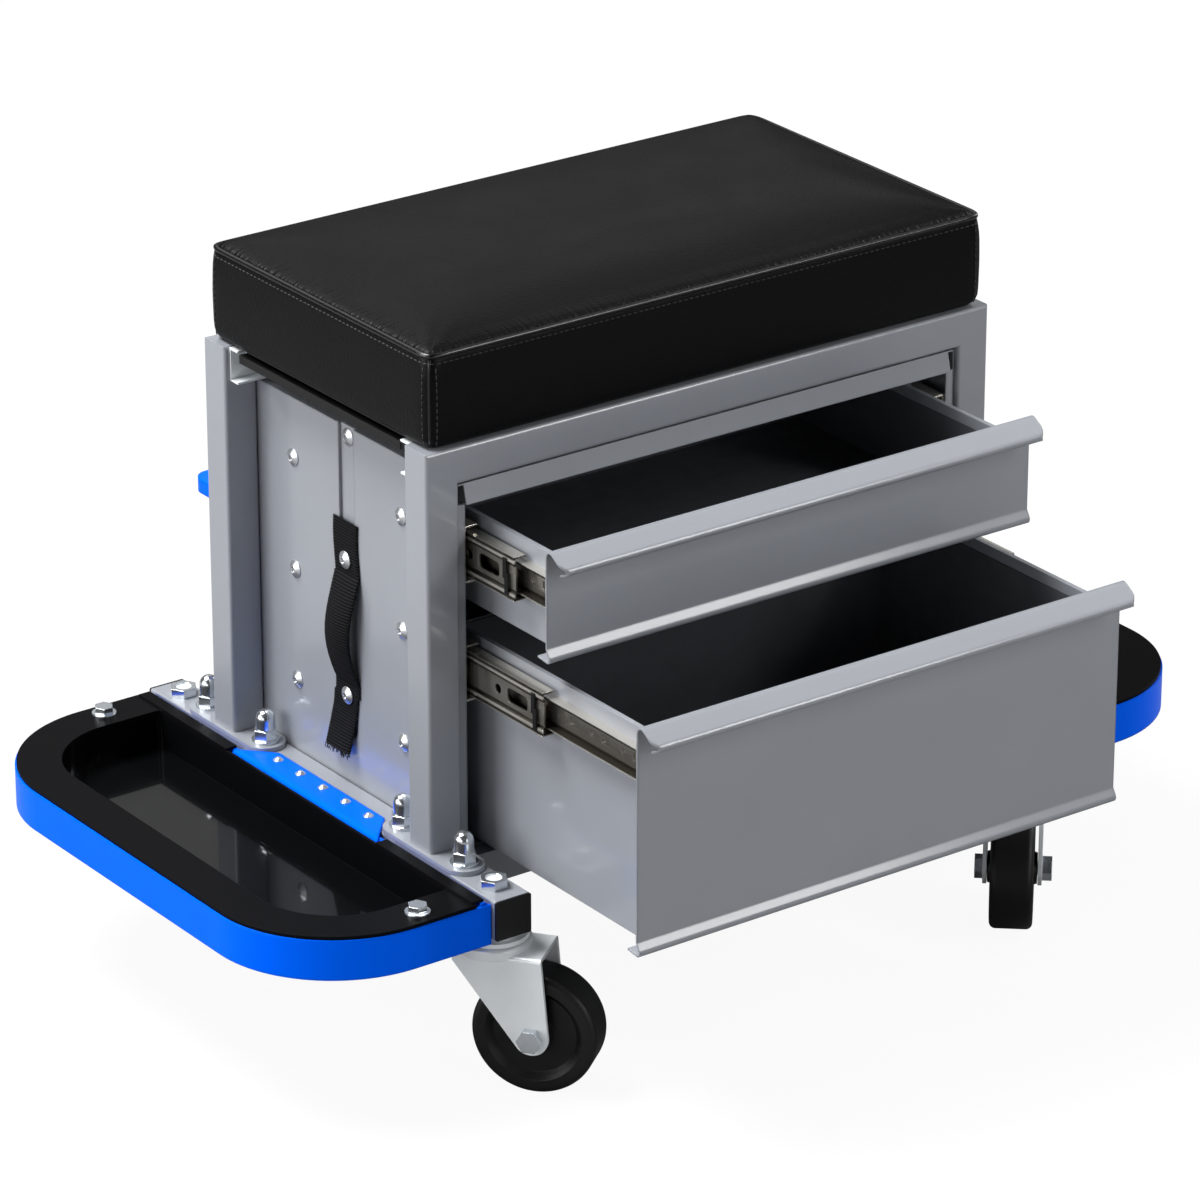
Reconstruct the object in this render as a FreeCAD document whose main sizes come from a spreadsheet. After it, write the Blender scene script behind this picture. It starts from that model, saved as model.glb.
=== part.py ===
import FreeCAD, Part
import Sketcher
import math
import os
from FreeCAD import Placement, Rotation, Vector

# Rolling mechanic's seat with two drawers, two folding side trays and a tray under the cushion.
# Millimetres, +X to the right, +Y to the back, +Z up, origin on the floor below the middle.

# Sizes, grouped by the piece that they belong to
sizes = {
    # front and rear frames, square tube
    "frameWide": 407.6,
    "frameDeep": 231,
    "frameTall": 251.5,
    "postSide": 22.5,
    "postWall": 1.5,
    "postRound": 2.2,
    # cross tubes under the frames
    "baseSide": 24.5,
    "baseWall": 1.8,
    "baseRound": 1.2,
    "tubeBeyond": 18.3,
    "baseBeyond": 2.4,
    "capThick": 1.5,
    "plugDeep": 10,
    "plugGap": 0.15,
    # lower rails between the cross tubes
    "railTall": 21,
    "railDeep": 20,
    "railDrop": 6.5,
    # foot plates and their fasteners
    "plateLong": 86,
    "plateWide": 24.5,
    "plateThick": 3,
    "footInset": 12,
    "footBolt": 4,
    "footWasher": 8.5,
    "washerThick": 1.6,
    "footHex": 7.5,
    "footHexTall": 6.5,
    "domeRadius": 5.9,
    "domeNeck": 6.5,
    "boltHeadTall": 5.3,
    "boltInNut": 11,
    "threadGap": 0.05,
    "boreGap": 0.2,
    # casters
    "casterBeyond": 60.45,
    "wheelRadius": 37.5,
    "wheelHalf": 13.2,
    "treadRound": 4,
    "hubHalf": 15.2,
    "hubRadius": 9.5,
    "discHalf": 9,
    "discRadius": 25,
    "rimInner": 27,
    "casterTrail": 26.9,
    "axleRadius": 4,
    "axleGap": 0.08,
    "axleHex": 7.5,
    "axleHeadTall": 5,
    "axleNutTall": 6,
    "forkHalfGap": 15.5,
    "forkThick": 2.5,
    "forkBack": 20,
    "forkFront": 33,
    "forkClear": 13.5,
    "forkShoulder": 6,
    "forkBoss": 10.5,
    "crownRadius": 22.5,
    "crownTall": 4.3,
    "crownRound": 2,
    "raceGap": 0.3,
    "neckRadius": 16.5,
    "neckTall": 2.9,
    "raceThick": 3,
    "raceRadius": 20.5,
    "stemRadius": 5,
    "stemFit": 0.08,
    "stemHead": 8,
    "stemHeadTall": 3,
    "stemAbove": 4.5,
    "stemHex": 8.6,
    "stemHexTall": 5.5,
    "frontLeftAngle": -52,
    "frontRightAngle": -131,
    "rearLeftAngle": -97,
    "rearRightAngle": -84,
    # cabinet of bent sheet
    "panelGap": 0.3,
    "sheetThick": 1,
    "panelInset": 3.5,
    "panelDrop": 2,
    "channelHalf": 7.8,
    "channelDeep": 1.8,
    "channelRise": 35,
    "stripTall": 12.2,
    "stripInset": 4,
    "stripLean": 3.2,
    "stripGap": 0.4,
    "crownHalf": 12,
    "brimWide": 10,
    "uprightDeep": 5,
    "uprightGap": 2,
    "floorInset": 9,
    "floorFlange": 18,
    # rivets of the side panels
    "rivetHead": 5.5,
    "rivetTall": 2.3,
    "rivetDimple": 1.8,
    "rivetShank": 2,
    "rivetTail": 3.2,
    "rivetRise": 52.5,
    "rivetDrop": 38,
    "crownRivetDrop": 7.5,
    # webbing strap on the left side
    "strapWide": 25,
    "strapThick": 1.8,
    "strapDrop": 59.5,
    "strapRise": 27,
    "strapEnd": 24.3,
    "strapFree": 36,
    "strapFlat": 9,
    "strapBulge": 9,
    "strapTail": 5,
    # seat
    "boardInset": 6.8,
    "boardThick": 9,
    "screwInset": 53.8,
    "screwRadius": 2,
    "screwHead": 4.5,
    "screwHeadTall": 1.6,
    "screwInBoard": 7.5,
    "cushionSideInset": 2.8,
    "cushionFrontInset": 1.5,
    "seamRise": 56.3,
    "cushionCrown": 8.5,
    "cushionRound": 11,
    "softGap": 0.3,
    # drawers
    "frontInset": 1.7,
    "frontSideGap": 5.4,
    "frontThick": 1.2,
    "ridgeRound": 4.2,
    "lipSlopeAngle": 32,
    "lipRun": 11.5,
    "curlRound": 2.8,
    "curlTurnAngle": 30,
    "handleRound": 6,
    "faceBend": 2,
    "flareLeanAngle": 30,
    "flareRun": 4.6,
    "beadRound": 3,
    "skirtLeanAngle": 7,
    "skirtRun": 8.5,
    "boxBackGap": 18.6,
    "boxAboveSkirt": 2.8,
    "hemThick": 3,
    "hemTall": 7,
    "sideBelowRidge": 9.5,
    "linerGap": 0.4,
    "linerThick": 1.5,
    "ridgeGap": 2.4,
    "topTall": 69.1,
    "topOpen": 77,
    "drawerGap": 6.6,
    "skirtGap": 0.8,
    "bottomOpen": 163,
    # ball bearing slides of the drawers
    "topSlideDrop": 30.4,
    "bottomSlideDrop": 28.7,
    "slideThick": 13,
    "slideSheet": 1.2,
    "outerHalf": 17.5,
    "outerFlange": 9.4,
    "middleHalf": 13.6,
    "middleWeb": 2.6,
    "middleFlange": 8.2,
    "innerHalf": 9.4,
    "innerFlange": 6.6,
    "slideInset": 1,
    "slideBackGap": 17,
    "middleInset": 1,
    "clipLong": 5,
    "clipTall": 22,
    "clipThick": 0.8,
    "clipInset": 5,
    "slotLong": 20,
    "slotTall": 9,
    "slotInset": 16,
    "slotStep": 60,
    "holeRadius": 2.9,
    "holeFromSlot": 9,
    "pressDeep": 1.2,
    "pressHalf": 9.6,
    "innerSlotTall": 5,
    "innerSlotLong": 8,
    "innerHole": 1.8,
    "innerInset": 9,
    "cageLong": 78,
    "cageInset": 9,
    "cageHalf": 0.9,
    "ballPitch": 34,
    "ballGap": 0.05,
    "topMiddleOut": 46,
    "bottomMiddleOut": 73,
    # tray under the seat and its runners
    "runnerDrop": 0.7,
    "runnerTall": 21,
    "runnerSheet": 1.2,
    "runnerFlange": 8.5,
    "runnerInset": 3.8,
    "runnerShort": 53.8,
    "runnerGap": 0.3,
    "memberWide": 12,
    "trayTall": 19.3,
    "traySheet": 1.2,
    "trayDrop": 2.5,
    "trayInset": 25.8,
    "pullInset": 4.3,
    "pullTall": 5.2,
    "pullSideGap": 9.5,
    # folding end trays
    "bandInset": 2.2,
    "bandLong": 128.3,
    "bandRound": 80,
    "bandThick": 3,
    "bandTall": 25,
    "bandGap": 0.8,
    "bandEdge": 1,
    "hingeGap": 0.3,
    "hingeRadius": 3,
    "hingeFit": 0.1,
    "flangeThick": 2.2,
    "lipThick": 1.2,
    "lipGap": 2,
    "lipBack": 0.9,
    "panStart": 6.9,
    "flangeFar": 28.4,
    "flangeSide": 27.8,
    "panRound": 52,
    "panCorner": 3,
    "panWall": 1.5,
    "panDeep": 24,
    "trayBoltStart": 37.9,
    "trayBoltInset": 12.8,
    "trayBolt": 3,
    "trayBoltFlange": 7.5,
    "trayBoltFlangeTall": 1.4,
    "trayBoltHex": 6,
    "trayBoltHexTall": 4,
    "trayBoltDome": 5.2,
    "trayNutTall": 5,
    "lugHalf": 10,
    "lugThick": 3,
    # hinge straps riveted on the cross tubes
    "leafWide": 15.7,
    "leafThick": 1.5,
    "leafClear": 26.25,
    "leafCorner": 22,
    "leafRivetInset": 6,
    "leafRivetEnd": 30,
    "leafRivetHead": 3.3,
    "leafRivetTall": 1.9,
    "leafRivetShank": 1.6,
    # tool rack behind the seat
    "rackInset": 13.8,
    "rackDeep": 39.5,
    "rackDrop": 104,
    "rackRim": 9,
    "rackSheet": 1.5,
    "rackRound": 10,
    "rackFlange": 25,
    "rackFlangeInset": 2.8,
    "rackHole": 6.5,
    "rackHoleEnd": 58,
    "rackBolt": 3,
    "rackBoltDrop": 17,
    "rackHex": 5.8,
    "rackHexTall": 4,
    "rackBoltDeep": 8,
    # one overrun for all cuts
    "overrun": 2,
}

doc = FreeCAD.newDocument("creeper_seat")
sheet = doc.addObject("Spreadsheet::Sheet", "Sizes")
for row, (name, value) in enumerate(sizes.items(), 1):
    sheet.set("A" + str(row), name)
    sheet.set("B" + str(row), str(value))
    sheet.setAlias("B" + str(row), name)
doc.recompute()


class Size:
    # A length that carries its number and its formula in the sheet's names.
    def __init__(self, value, text):
        self.value = value
        self.text = text

    def __add__(self, other):
        other = as_size(other)
        return Size(self.value + other.value, "(" + self.text + " + " + other.text + ")")

    def __sub__(self, other):
        other = as_size(other)
        return Size(self.value - other.value, "(" + self.text + " - " + other.text + ")")

    def __mul__(self, other):
        other = as_size(other)
        return Size(self.value * other.value, "(" + self.text + " * " + other.text + ")")

    def __truediv__(self, other):
        other = as_size(other)
        return Size(self.value / other.value, "(" + self.text + " / " + other.text + ")")

    def __neg__(self):
        return Size(-self.value, "(0 - " + self.text + ")")

    def __radd__(self, other):
        return as_size(other) + self

    def __rsub__(self, other):
        return as_size(other) - self

    def __rmul__(self, other):
        return as_size(other) * self

    def __float__(self):
        return float(self.value)


def as_size(number):
    return number if isinstance(number, Size) else Size(number, repr(number))


class Sheet:
    def __getattr__(self, name):
        return Size(float(sizes[name]), "Sizes." + name)


s = Sheet()
zero = as_size(0)


def sine(angle):
    return Size(math.sin(math.radians(angle.value)), "sin(" + angle.text + ")")


def cosine(angle):
    return Size(math.cos(math.radians(angle.value)), "cos(" + angle.text + ")")


followers = []


# A length that follows from the sizes is a formula in the sheet, under its own name
def follow(name, size):
    followers.append(name)
    row = str(len(sizes) + len(followers))
    sheet.set("A" + row, name)
    sheet.set("B" + row, "=" + size.text.replace("Sizes.", ""))
    sheet.setAlias("B" + row, name)
    return Size(size.value, "Sizes." + name)


half = follow("halfWide", s.frameWide / 2)
deep = follow("halfDeep", s.frameDeep / 2)
railIn = follow("railIn", deep - s.postSide)
postMiddle = follow("postMiddle", deep - s.postSide / 2)

# heights, built up from the wheels
forkTop = follow("forkTop", s.wheelRadius * 2 + s.forkClear)
crownTop = follow("crownTop", forkTop + s.crownTall)
low = follow("tubeFoot", crownTop + s.raceGap + s.raceThick + s.neckTall)
baseTop = follow("baseTop", low + s.baseSide)
railTop = follow("railTop", baseTop - s.railDrop)
frameTop = follow("frameTop", baseTop + s.frameTall)
panelTop = follow("panelTop", frameTop - s.postSide - s.panelDrop)

# cross tubes, foot plates and casters
baseOuter = follow("baseOuter", half + s.baseBeyond)
baseMiddle = follow("baseMiddle", baseOuter - s.baseSide / 2)
casterReach = follow("casterReach", postMiddle + s.casterBeyond)
baseLong = follow("baseLong", (casterReach + s.tubeBeyond) * 2)
footReach = follow("footReach", s.plateLong / 2 - s.footInset)

# cabinet, its rivets and the strap
cabinetHalf = follow("cabinetWall", half - s.postSide - s.panelGap - s.sheetThick)
panelFront = follow("panelFront", deep - s.panelInset)
channelFoot = follow("channelFoot", railTop + s.channelRise)
stripHalf = follow("stripEnd", cabinetHalf - s.stripInset)
floorFront = follow("floorFront", panelFront - s.floorInset)
rivetReach = follow("rivetReach", panelFront / 2)
rivetLow = follow("rivetFoot", railTop + s.rivetRise)
rivetHigh = follow("rivetUpper", panelTop - s.rivetDrop)
rivetMiddle = follow("rivetMiddle", (rivetLow + rivetHigh) / 2)
rivetCrown = follow("rivetCrown", panelTop - s.crownRivetDrop)
strapTop = follow("strapTop", panelTop - s.strapDrop)
strapFoot = follow("strapFoot", railTop + s.strapRise)
strapRivetHigh = follow("strapRivetUpper", strapTop - s.strapEnd)
strapRivetLow = follow("strapRivetLower", strapFoot + s.strapFree)

# seat
boardWide = follow("boardWide", s.frameWide - s.boardInset * 2)
boardDeep = follow("boardDeep", s.frameDeep - s.boardInset * 2)
screwReach = follow("screwReach", half - s.screwInset)
cushionWide = follow("cushionWide", s.frameWide - s.cushionSideInset * 2)
cushionDeep = follow("cushionDeep", s.frameDeep - s.cushionFrontInset * 2)
cushionSeam = follow("cushionSeam", frameTop + s.seamRise)

# drawers and their slides
closedFront = follow("closedFront", deep - s.frontInset)
frontWide = follow("frontWide", (cabinetHalf - s.frontSideGap) * 2)
slideWall = follow("slideWall", cabinetHalf - s.uprightDeep)
boxHalf = follow("boxSide", slideWall - s.slideThick)
boxDeep = follow("boxDeep", closedFront - s.frontThick + panelFront - s.sheetThick - s.boxBackGap)
slideFront = follow("slideFront", panelFront - s.slideInset)
slideLong = follow("slideLong", slideFront + panelFront - s.sheetThick - s.slideBackGap)
topRidge = follow("topRidge", panelTop - s.stripTall - s.ridgeGap)
topSkirt = follow("topSkirt", topRidge - s.topTall)
bottomRidge = follow("bottomRidge", topSkirt - s.drawerGap)
bottomSkirt = follow("bottomSkirt", railTop + s.skirtGap)
topSlideMid = follow("topSlideMid", topRidge - s.topSlideDrop)
bottomSlideMid = follow("bottomSlideMid", bottomRidge - s.bottomSlideDrop)

# tray under the seat and its runners
runnerTop = follow("runnerTop", frameTop - s.runnerDrop)
runnerFront = follow("runnerFront", half - s.runnerInset)
runnerBack = follow("runnerBack", half - s.runnerShort)
sliderOut = follow("sliderOut", railIn - s.runnerSheet - s.runnerGap)
trayHalf = follow("traySide", sliderOut - s.memberWide)
trayWallTop = follow("trayWallTop", frameTop - s.trayDrop)
trayFloor = follow("trayFloor", trayWallTop - s.trayTall)
trayOuter = follow("trayOuter", half - s.trayInset)
pullReach = follow("pullReach", half - s.pullInset)
pullFoot = follow("pullFoot", trayWallTop - s.pullTall)
pullHalf = follow("pullSide", railIn - s.pullSideGap)

# end trays with their hinges
curlIn = follow("curlIn", s.hingeRadius + s.hingeFit)
curlOut = follow("curlOut", curlIn + s.leafThick)
hingeX = follow("hingeX", baseOuter + s.hingeGap + curlOut)
hingeZ = follow("hingeZ", baseTop - curlIn)
leafTop = follow("leafTop", baseTop + s.leafThick)
leafInner = follow("leafInner", hingeX - s.leafWide)
leafHalf = follow("leafSide", postMiddle - s.leafClear)
leafRivetOut = follow("leafRivetOut", leafInner + s.leafRivetInset)
leafRivetPitch = follow("leafRivetPitch", (leafHalf - s.leafRivetEnd) / 2)
bandTop = follow("bandTop", leafTop - s.hingeRadius - s.bandEdge / 2)
bandHalf = follow("bandSide", baseLong / 2 - s.bandInset)
bandReach = follow("bandReach", hingeX + s.bandLong)
bandEnd = follow("bandEnd", baseOuter + s.bandGap)
lipHalf = follow("lipSide", leafHalf + s.lipGap)
panInner = follow("panInner", hingeX + s.panStart)
panReach = follow("panReach", bandReach - s.flangeFar)
panHalf = follow("panSide", bandHalf - s.flangeSide)
panFoot = follow("panFoot", bandTop - s.panDeep)
trayBoltOut = follow("trayBoltOut", hingeX + s.trayBoltStart)
trayBoltHalf = follow("trayBoltSide", bandHalf - s.trayBoltInset)

# tool rack
rackHalf = follow("rackSide", half - s.rackInset)
rackTop = follow("rackTop", frameTop - s.rackDrop)
rackFlangeHalf = follow("rackFlangeEnd", half - s.rackFlangeInset)
rackHolePitch = follow("rackHolePitch", (rackHalf - s.rackHoleEnd) / 3)
doc.recompute()


def bind(item, name, size):
    item.setExpression(name, as_size(size).text)


def place(item, x=zero, y=zero, z=zero, turn=None):
    spin = turn or Rotation()
    item.Placement = Placement(Vector(float(x), float(y), float(z)), spin)
    bind(item, "Placement.Base.x", x)
    bind(item, "Placement.Base.y", y)
    bind(item, "Placement.Base.z", z)
    return item


# Sketches: a loop is a list of points, and a point with a radius and a turn ends an arc
def draw_loop(sketch, loop):
    first = sketch.GeometryCount
    shapes = []
    ends = []
    for i, point in enumerate(loop):
        start = Vector(float(loop[i - 1][0]), float(loop[i - 1][1]), 0)
        end = Vector(float(point[0]), float(point[1]), 0)
        if not point[2:]:
            shapes.append(Part.LineSegment(start, end))
            ends.append((1, 2))
            continue
        radius = float(point[2])
        side = 1 if point[3] == "left" else -1
        chord = end - start
        half = chord.Length / 2
        across = Vector(-chord.y, chord.x, 0).normalize() * side
        centre = (start + end) / 2 + across * math.sqrt(max(radius * radius - half * half, 0))
        middle = centre - across * radius
        shapes.append(Part.Arc(start, middle, end))
        ends.append((1, 2) if side > 0 else (2, 1))
    sketch.addGeometry(shapes, False)
    rules = []
    formulas = []
    for i, point in enumerate(loop):
        here = first + i
        after = first + (i + 1) % len(loop)
        rules.append(Sketcher.Constraint("Coincident", here, ends[i][1], after, ends[(i + 1) % len(loop)][0]))
        formulas.append(None)
        rules.append(Sketcher.Constraint("DistanceX", -1, 1, here, ends[i][1], float(point[0])))
        formulas.append(as_size(point[0]).text)
        rules.append(Sketcher.Constraint("DistanceY", -1, 1, here, ends[i][1], float(point[1])))
        formulas.append(as_size(point[1]).text)
        if point[2:]:
            rules.append(Sketcher.Constraint("Radius", here, float(point[2])))
            formulas.append(as_size(point[2]).text)
    add_rules(sketch, rules, formulas)


def draw_circle(sketch, x, y, radius):
    circle = Part.Circle(Vector(float(x), float(y), 0), Vector(0, 0, 1), float(radius))
    here = sketch.addGeometry(circle, False)
    rules = [
        Sketcher.Constraint("DistanceX", -1, 1, here, 3, float(x)),
        Sketcher.Constraint("DistanceY", -1, 1, here, 3, float(y)),
        Sketcher.Constraint("Radius", here, float(radius)),
    ]
    add_rules(sketch, rules, [as_size(x).text, as_size(y).text, as_size(radius).text])


def add_rules(sketch, rules, formulas):
    first = sketch.ConstraintCount
    sketch.addConstraint(rules)
    for i, formula in enumerate(formulas):
        if formula is not None:
            sketch.setExpression("Constraints[" + str(first + i) + "]", formula)


def sketch_on(body, plane, loops=(), circles=(), level=zero):
    sketch = body.newObject("Sketcher::SketchObject", body.Name + "Sketch")
    support = [item for item in body.Origin.OriginFeatures if item.Role == plane + "_Plane"][0]
    sketch.AttachmentSupport = [(support, "")]
    sketch.MapMode = "FlatFace"
    sketch.AttachmentOffset = Placement(Vector(0, 0, float(level)), Rotation())
    bind(sketch, "AttachmentOffset.Base.z", level)
    for loop in loops:
        draw_loop(sketch, loop)
    for circle in circles:
        draw_circle(sketch, *circle)
    return sketch


def new_body(name):
    return doc.addObject("PartDesign::Body", name)


def pad(body, sketch, length, midplane=False, back=False):
    item = body.newObject("PartDesign::Pad", body.Name + "Pad")
    item.Profile = sketch
    item.Midplane = midplane
    item.Reversed = back
    item.Length = float(length)
    bind(item, "Length", length)
    return item


def pocket(body, sketch, length, midplane=False, back=False):
    item = body.newObject("PartDesign::Pocket", body.Name + "Pocket")
    item.Profile = sketch
    item.Midplane = midplane
    item.Reversed = back
    item.Length = float(length)
    bind(item, "Length", length)
    return item


def revolve(body, sketch, axis="V_Axis"):
    item = body.newObject("PartDesign::Revolution", body.Name + "Revolution")
    item.Profile = sketch
    item.ReferenceAxis = (sketch, [axis])
    item.Angle = 360
    return item


def fillet(body, base, radius, wanted):
    doc.recompute()
    edges = ["Edge" + str(i) for i, edge in enumerate(base.Shape.Edges, 1) if wanted(edge)]
    item = body.newObject("PartDesign::Fillet", body.Name + "Fillet")
    item.Base = (base, edges)
    item.Radius = float(radius)
    bind(item, "Radius", radius)
    return item


def rectangle(x0, y0, x1, y1):
    return [(x0, y0), (x1, y0), (x1, y1), (x0, y1)]


def rounded(x0, y0, x1, y1, r):
    return [
        (x1 - r, y0), (x1, y0 + r, r, "left"), (x1, y1 - r), (x1 - r, y1, r, "left"),
        (x0 + r, y1), (x0, y1 - r, r, "left"), (x0, y0 + r), (x0 + r, y0, r, "left"),
    ]


# Part primitives bound to the sheet
def box(x0, y0, z0, x1, y1, z1):
    item = doc.addObject("Part::Box", "Block")
    for name, low, high in (("Length", x0, x1), ("Width", y0, y1), ("Height", z0, z1)):
        span = as_size(high) - low
        setattr(item, name, float(span))
        bind(item, name, span)
    return place(item, x0, y0, z0)


turns = {
    "z": Rotation(),
    "x": Rotation(Vector(0, 1, 0), 90),
    "y": Rotation(Vector(1, 0, 0), -90),
}


def rod(radius, x, y, z, length, axis="z"):
    item = doc.addObject("Part::Cylinder", "Rod")
    item.Radius = float(radius)
    item.Height = float(length)
    bind(item, "Radius", radius)
    bind(item, "Height", length)
    return place(item, x, y, z, turns[axis])


def hexagon(corner, x, y, z, length, axis="z"):
    item = doc.addObject("Part::Prism", "Hexagon")
    item.Polygon = 6
    item.Circumradius = float(corner)
    item.Height = float(length)
    bind(item, "Circumradius", corner)
    bind(item, "Height", length)
    return place(item, x, y, z, turns[axis])


def ball(radius, x, y, z):
    item = doc.addObject("Part::Sphere", "Ball")
    item.Radius = float(radius)
    bind(item, "Radius", radius)
    return place(item, x, y, z)


def fuse(items):
    item = doc.addObject("Part::MultiFuse", "Fused")
    item.Shapes = items
    item.Refine = True
    return item


def cut(base, tools):
    tool = tools[0] if len(tools) == 1 else fuse(tools)
    item = doc.addObject("Part::Cut", "Holed")
    item.Base = base
    item.Tool = tool
    item.Refine = True
    return item


def mirrored(source, normal):
    item = doc.addObject("Part::Mirroring", "Mirrored")
    item.Source = source
    item.Normal = normal
    item.Base = Vector(0, 0, 0)
    return item


def group(items):
    item = doc.addObject("Part::Compound", "Group")
    item.Links = items
    return item


# Equal pieces, the source's shape set down once at each place
def copies(source, places):
    doc.recompute()
    item = doc.addObject("Part::Feature", "Copies")
    shapes = []
    for spot in places:
        shape = source.Shape.copy()
        shape.Placement = spot.multiply(shape.Placement)
        shapes.append(shape)
    item.Shape = Part.makeCompound(shapes)
    return item


def spot(x, y, z, axis=Vector(0, 0, 1), angle=0):
    return Placement(Vector(float(x), float(y), float(z)), Rotation(axis, angle))


nodes = {}
handleReach = s.ridgeRound - s.frontThick + s.ridgeRound * sine(s.lipSlopeAngle) \
    + s.lipRun * cosine(s.lipSlopeAngle) - s.curlRound * sine(s.lipSlopeAngle) + s.curlRound
frontReach = closedFront + s.bottomOpen + handleReach
rearReach = casterReach + s.crownRadius
midY = (frontReach - rearReach) / 2


# Each sub-part gets its name and its place, in a frame whose middle lies midY behind the origin
def node(label, item, x=zero, y=zero, z=zero, turn=None):
    item.Label = label
    nodes[label] = item
    return place(item, x, midY + y, z, turn)


leftRight = (-1, 1)
yzNormal = Vector(1, 0, 0)
xzNormal = Vector(0, 1, 0)

# Front and rear frames: hollow square tube, two posts and a top rail, mitred at the corners
foot = baseTop + s.plateThick


def arch(inset, base):
    side = half - inset
    inner = half - s.postSide + inset
    return [
        (-side, base), (-inner, base), (-inner, frameTop - s.postSide + inset),
        (inner, frameTop - s.postSide + inset), (inner, base), (side, base),
        (side, frameTop - inset), (-side, frameTop - inset),
    ]


frame = new_body("FrontFrame")
tube = pad(frame, sketch_on(frame, "XZ", [arch(zero, foot)], level=deep), s.postSide, back=True)
hollow = pocket(frame, sketch_on(frame, "XZ", [arch(s.postWall, foot)], level=deep - s.postWall),
                s.postSide - s.postWall * 2)
screwHoles = [(x * screwReach, -postMiddle, s.screwRadius + s.boreGap) for x in leftRight]
holed = pocket(frame, sketch_on(frame, "XY", circles=screwHoles, level=frameTop), s.postSide)


def tube_corner(edge):
    # Long edges on the outside of the tube, not those of the bore or the mitres.
    bounds = edge.BoundBox
    if edge.Length < float(s.postSide) * 2:
        return False
    return abs(abs(bounds.YMin + float(postMiddle)) - float(s.postSide) / 2) < float(s.plugGap)


rounds = fillet(frame, holed, s.postRound, tube_corner)
rearFrame = mirrored(frame, xzNormal)
rackBoltZ = rackTop - s.rackBoltDrop
rackBoltX = half - s.postSide / 2
rackHoles = [rod(s.rackBolt + s.boreGap, x * rackBoltX, deep - s.postWall - s.overrun, rackBoltZ,
                 s.postWall + s.overrun * 2, "y") for x in leftRight]
node("front_frame", group([frame]))
node("rear_frame", cut(rearFrame, rackHoles))

# Cross tubes along the left and right ends, with their holes, and the caps in their ends
cross = new_body("CrossTube")
outer = rounded(-baseOuter, low, -baseOuter + s.baseSide, baseTop, s.baseRound)
inner = rectangle(-baseOuter + s.baseWall, low + s.baseWall,
                  -baseOuter + s.baseSide - s.baseWall, baseTop - s.baseWall)
pad(cross, sketch_on(cross, "XZ", [outer, inner]), baseLong, midplane=True)
boltRows = [y * postMiddle + way * footReach for y in leftRight for way in leftRight]
boltHoles = [(-baseMiddle, y, s.footBolt + s.boreGap) for y in boltRows]
stemHoles = [(-baseMiddle, y * casterReach, s.stemRadius + s.boreGap) for y in leftRight]
pocket(cross, sketch_on(cross, "XY", circles=boltHoles + stemHoles, level=baseTop), s.baseSide)
rivetRows = [as_size(step) * leafRivetPitch for step in range(-2, 3)]
rivetHoles = [(-leafRivetOut, y, s.leafRivetShank + s.boreGap) for y in rivetRows]
pocket(cross, sketch_on(cross, "XY", circles=rivetHoles, level=baseTop), s.baseWall * 2)
node("left_cross_tube", group([cross]))
node("right_cross_tube", mirrored(cross, yzNormal))

cap = new_body("EndCap")
side = s.baseSide / 2
plug = side - s.baseWall - s.plugGap
pad(cap, sketch_on(cap, "XZ", [rounded(-side, -side, side, side, s.baseRound)]), s.capThick)
pad(cap, sketch_on(cap, "XZ", [rectangle(-plug, -plug, plug, plug)]), s.plugDeep, back=True)
capSpots = []
for x in leftRight:
    capSpots.append(spot(x * baseMiddle, -baseLong / 2, baseTop - side))
    capSpots.append(spot(x * baseMiddle, baseLong / 2, baseTop - side, angle=180))
node("tube_end_caps", copies(cap, capSpots))

# Lower rails that join the cross tubes under the cabinet
rail = new_body("LowerRail")
railInner = baseOuter - s.baseSide
railRing = rectangle(-deep, railTop - s.railTall, -deep + s.railDeep, railTop)
railBore = rectangle(-deep + s.postWall, railTop - s.railTall + s.postWall,
                     -deep + s.railDeep - s.postWall, railTop - s.postWall)
pad(rail, sketch_on(rail, "YZ", [railRing, railBore]), railInner * 2, midplane=True)
node("lower_rails", group([rail, mirrored(rail, xzNormal)]))

# Foot plates under the posts, each held by two bolts with acorn nuts
plate = new_body("FootPlate")
r = s.plateWide / 2
run = s.plateLong / 2 - r
plateLoop = [(r, run), (zero, run + r, r, "left"), (-r, run, r, "left"),
             (-r, -run), (zero, -run - r, r, "left"), (r, -run, r, "left")]
plateHoles = [(zero, way * footReach, s.footBolt + s.boreGap) for way in leftRight]
pad(plate, sketch_on(plate, "XY", [plateLoop], plateHoles), s.plateThick)
plateSpots = [spot(x * baseMiddle, y * postMiddle, baseTop) for x in leftRight for y in leftRight]
node("foot_plates", copies(plate, plateSpots))

washerTop = s.washerThick
hexTop = washerTop + s.footHexTall
nut = cut(
    fuse([
        rod(s.footWasher, zero, zero, zero, s.washerThick),
        hexagon(s.footHex, zero, zero, washerTop, s.footHexTall),
        rod(s.domeRadius, zero, zero, hexTop, s.domeNeck),
        ball(s.domeRadius, zero, zero, hexTop + s.domeNeck),
    ]),
    [rod(s.footBolt + s.threadGap, zero, zero, zero, s.boltInNut + s.overrun)],
)
bolt = fuse([
    hexagon(s.footHex, zero, zero, -s.boltHeadTall, s.boltHeadTall),
    rod(s.footBolt, zero, zero, zero, s.baseSide + s.plateThick + s.boltInNut),
])
nutSpots = []
boltSpots = []
for x in leftRight:
    for y in boltRows:
        nutSpots.append(spot(x * baseMiddle, y, foot))
        boltSpots.append(spot(x * baseMiddle, y, low))
node("foot_bolts", group([copies(nut, nutSpots), copies(bolt, boltSpots)]))

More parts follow.
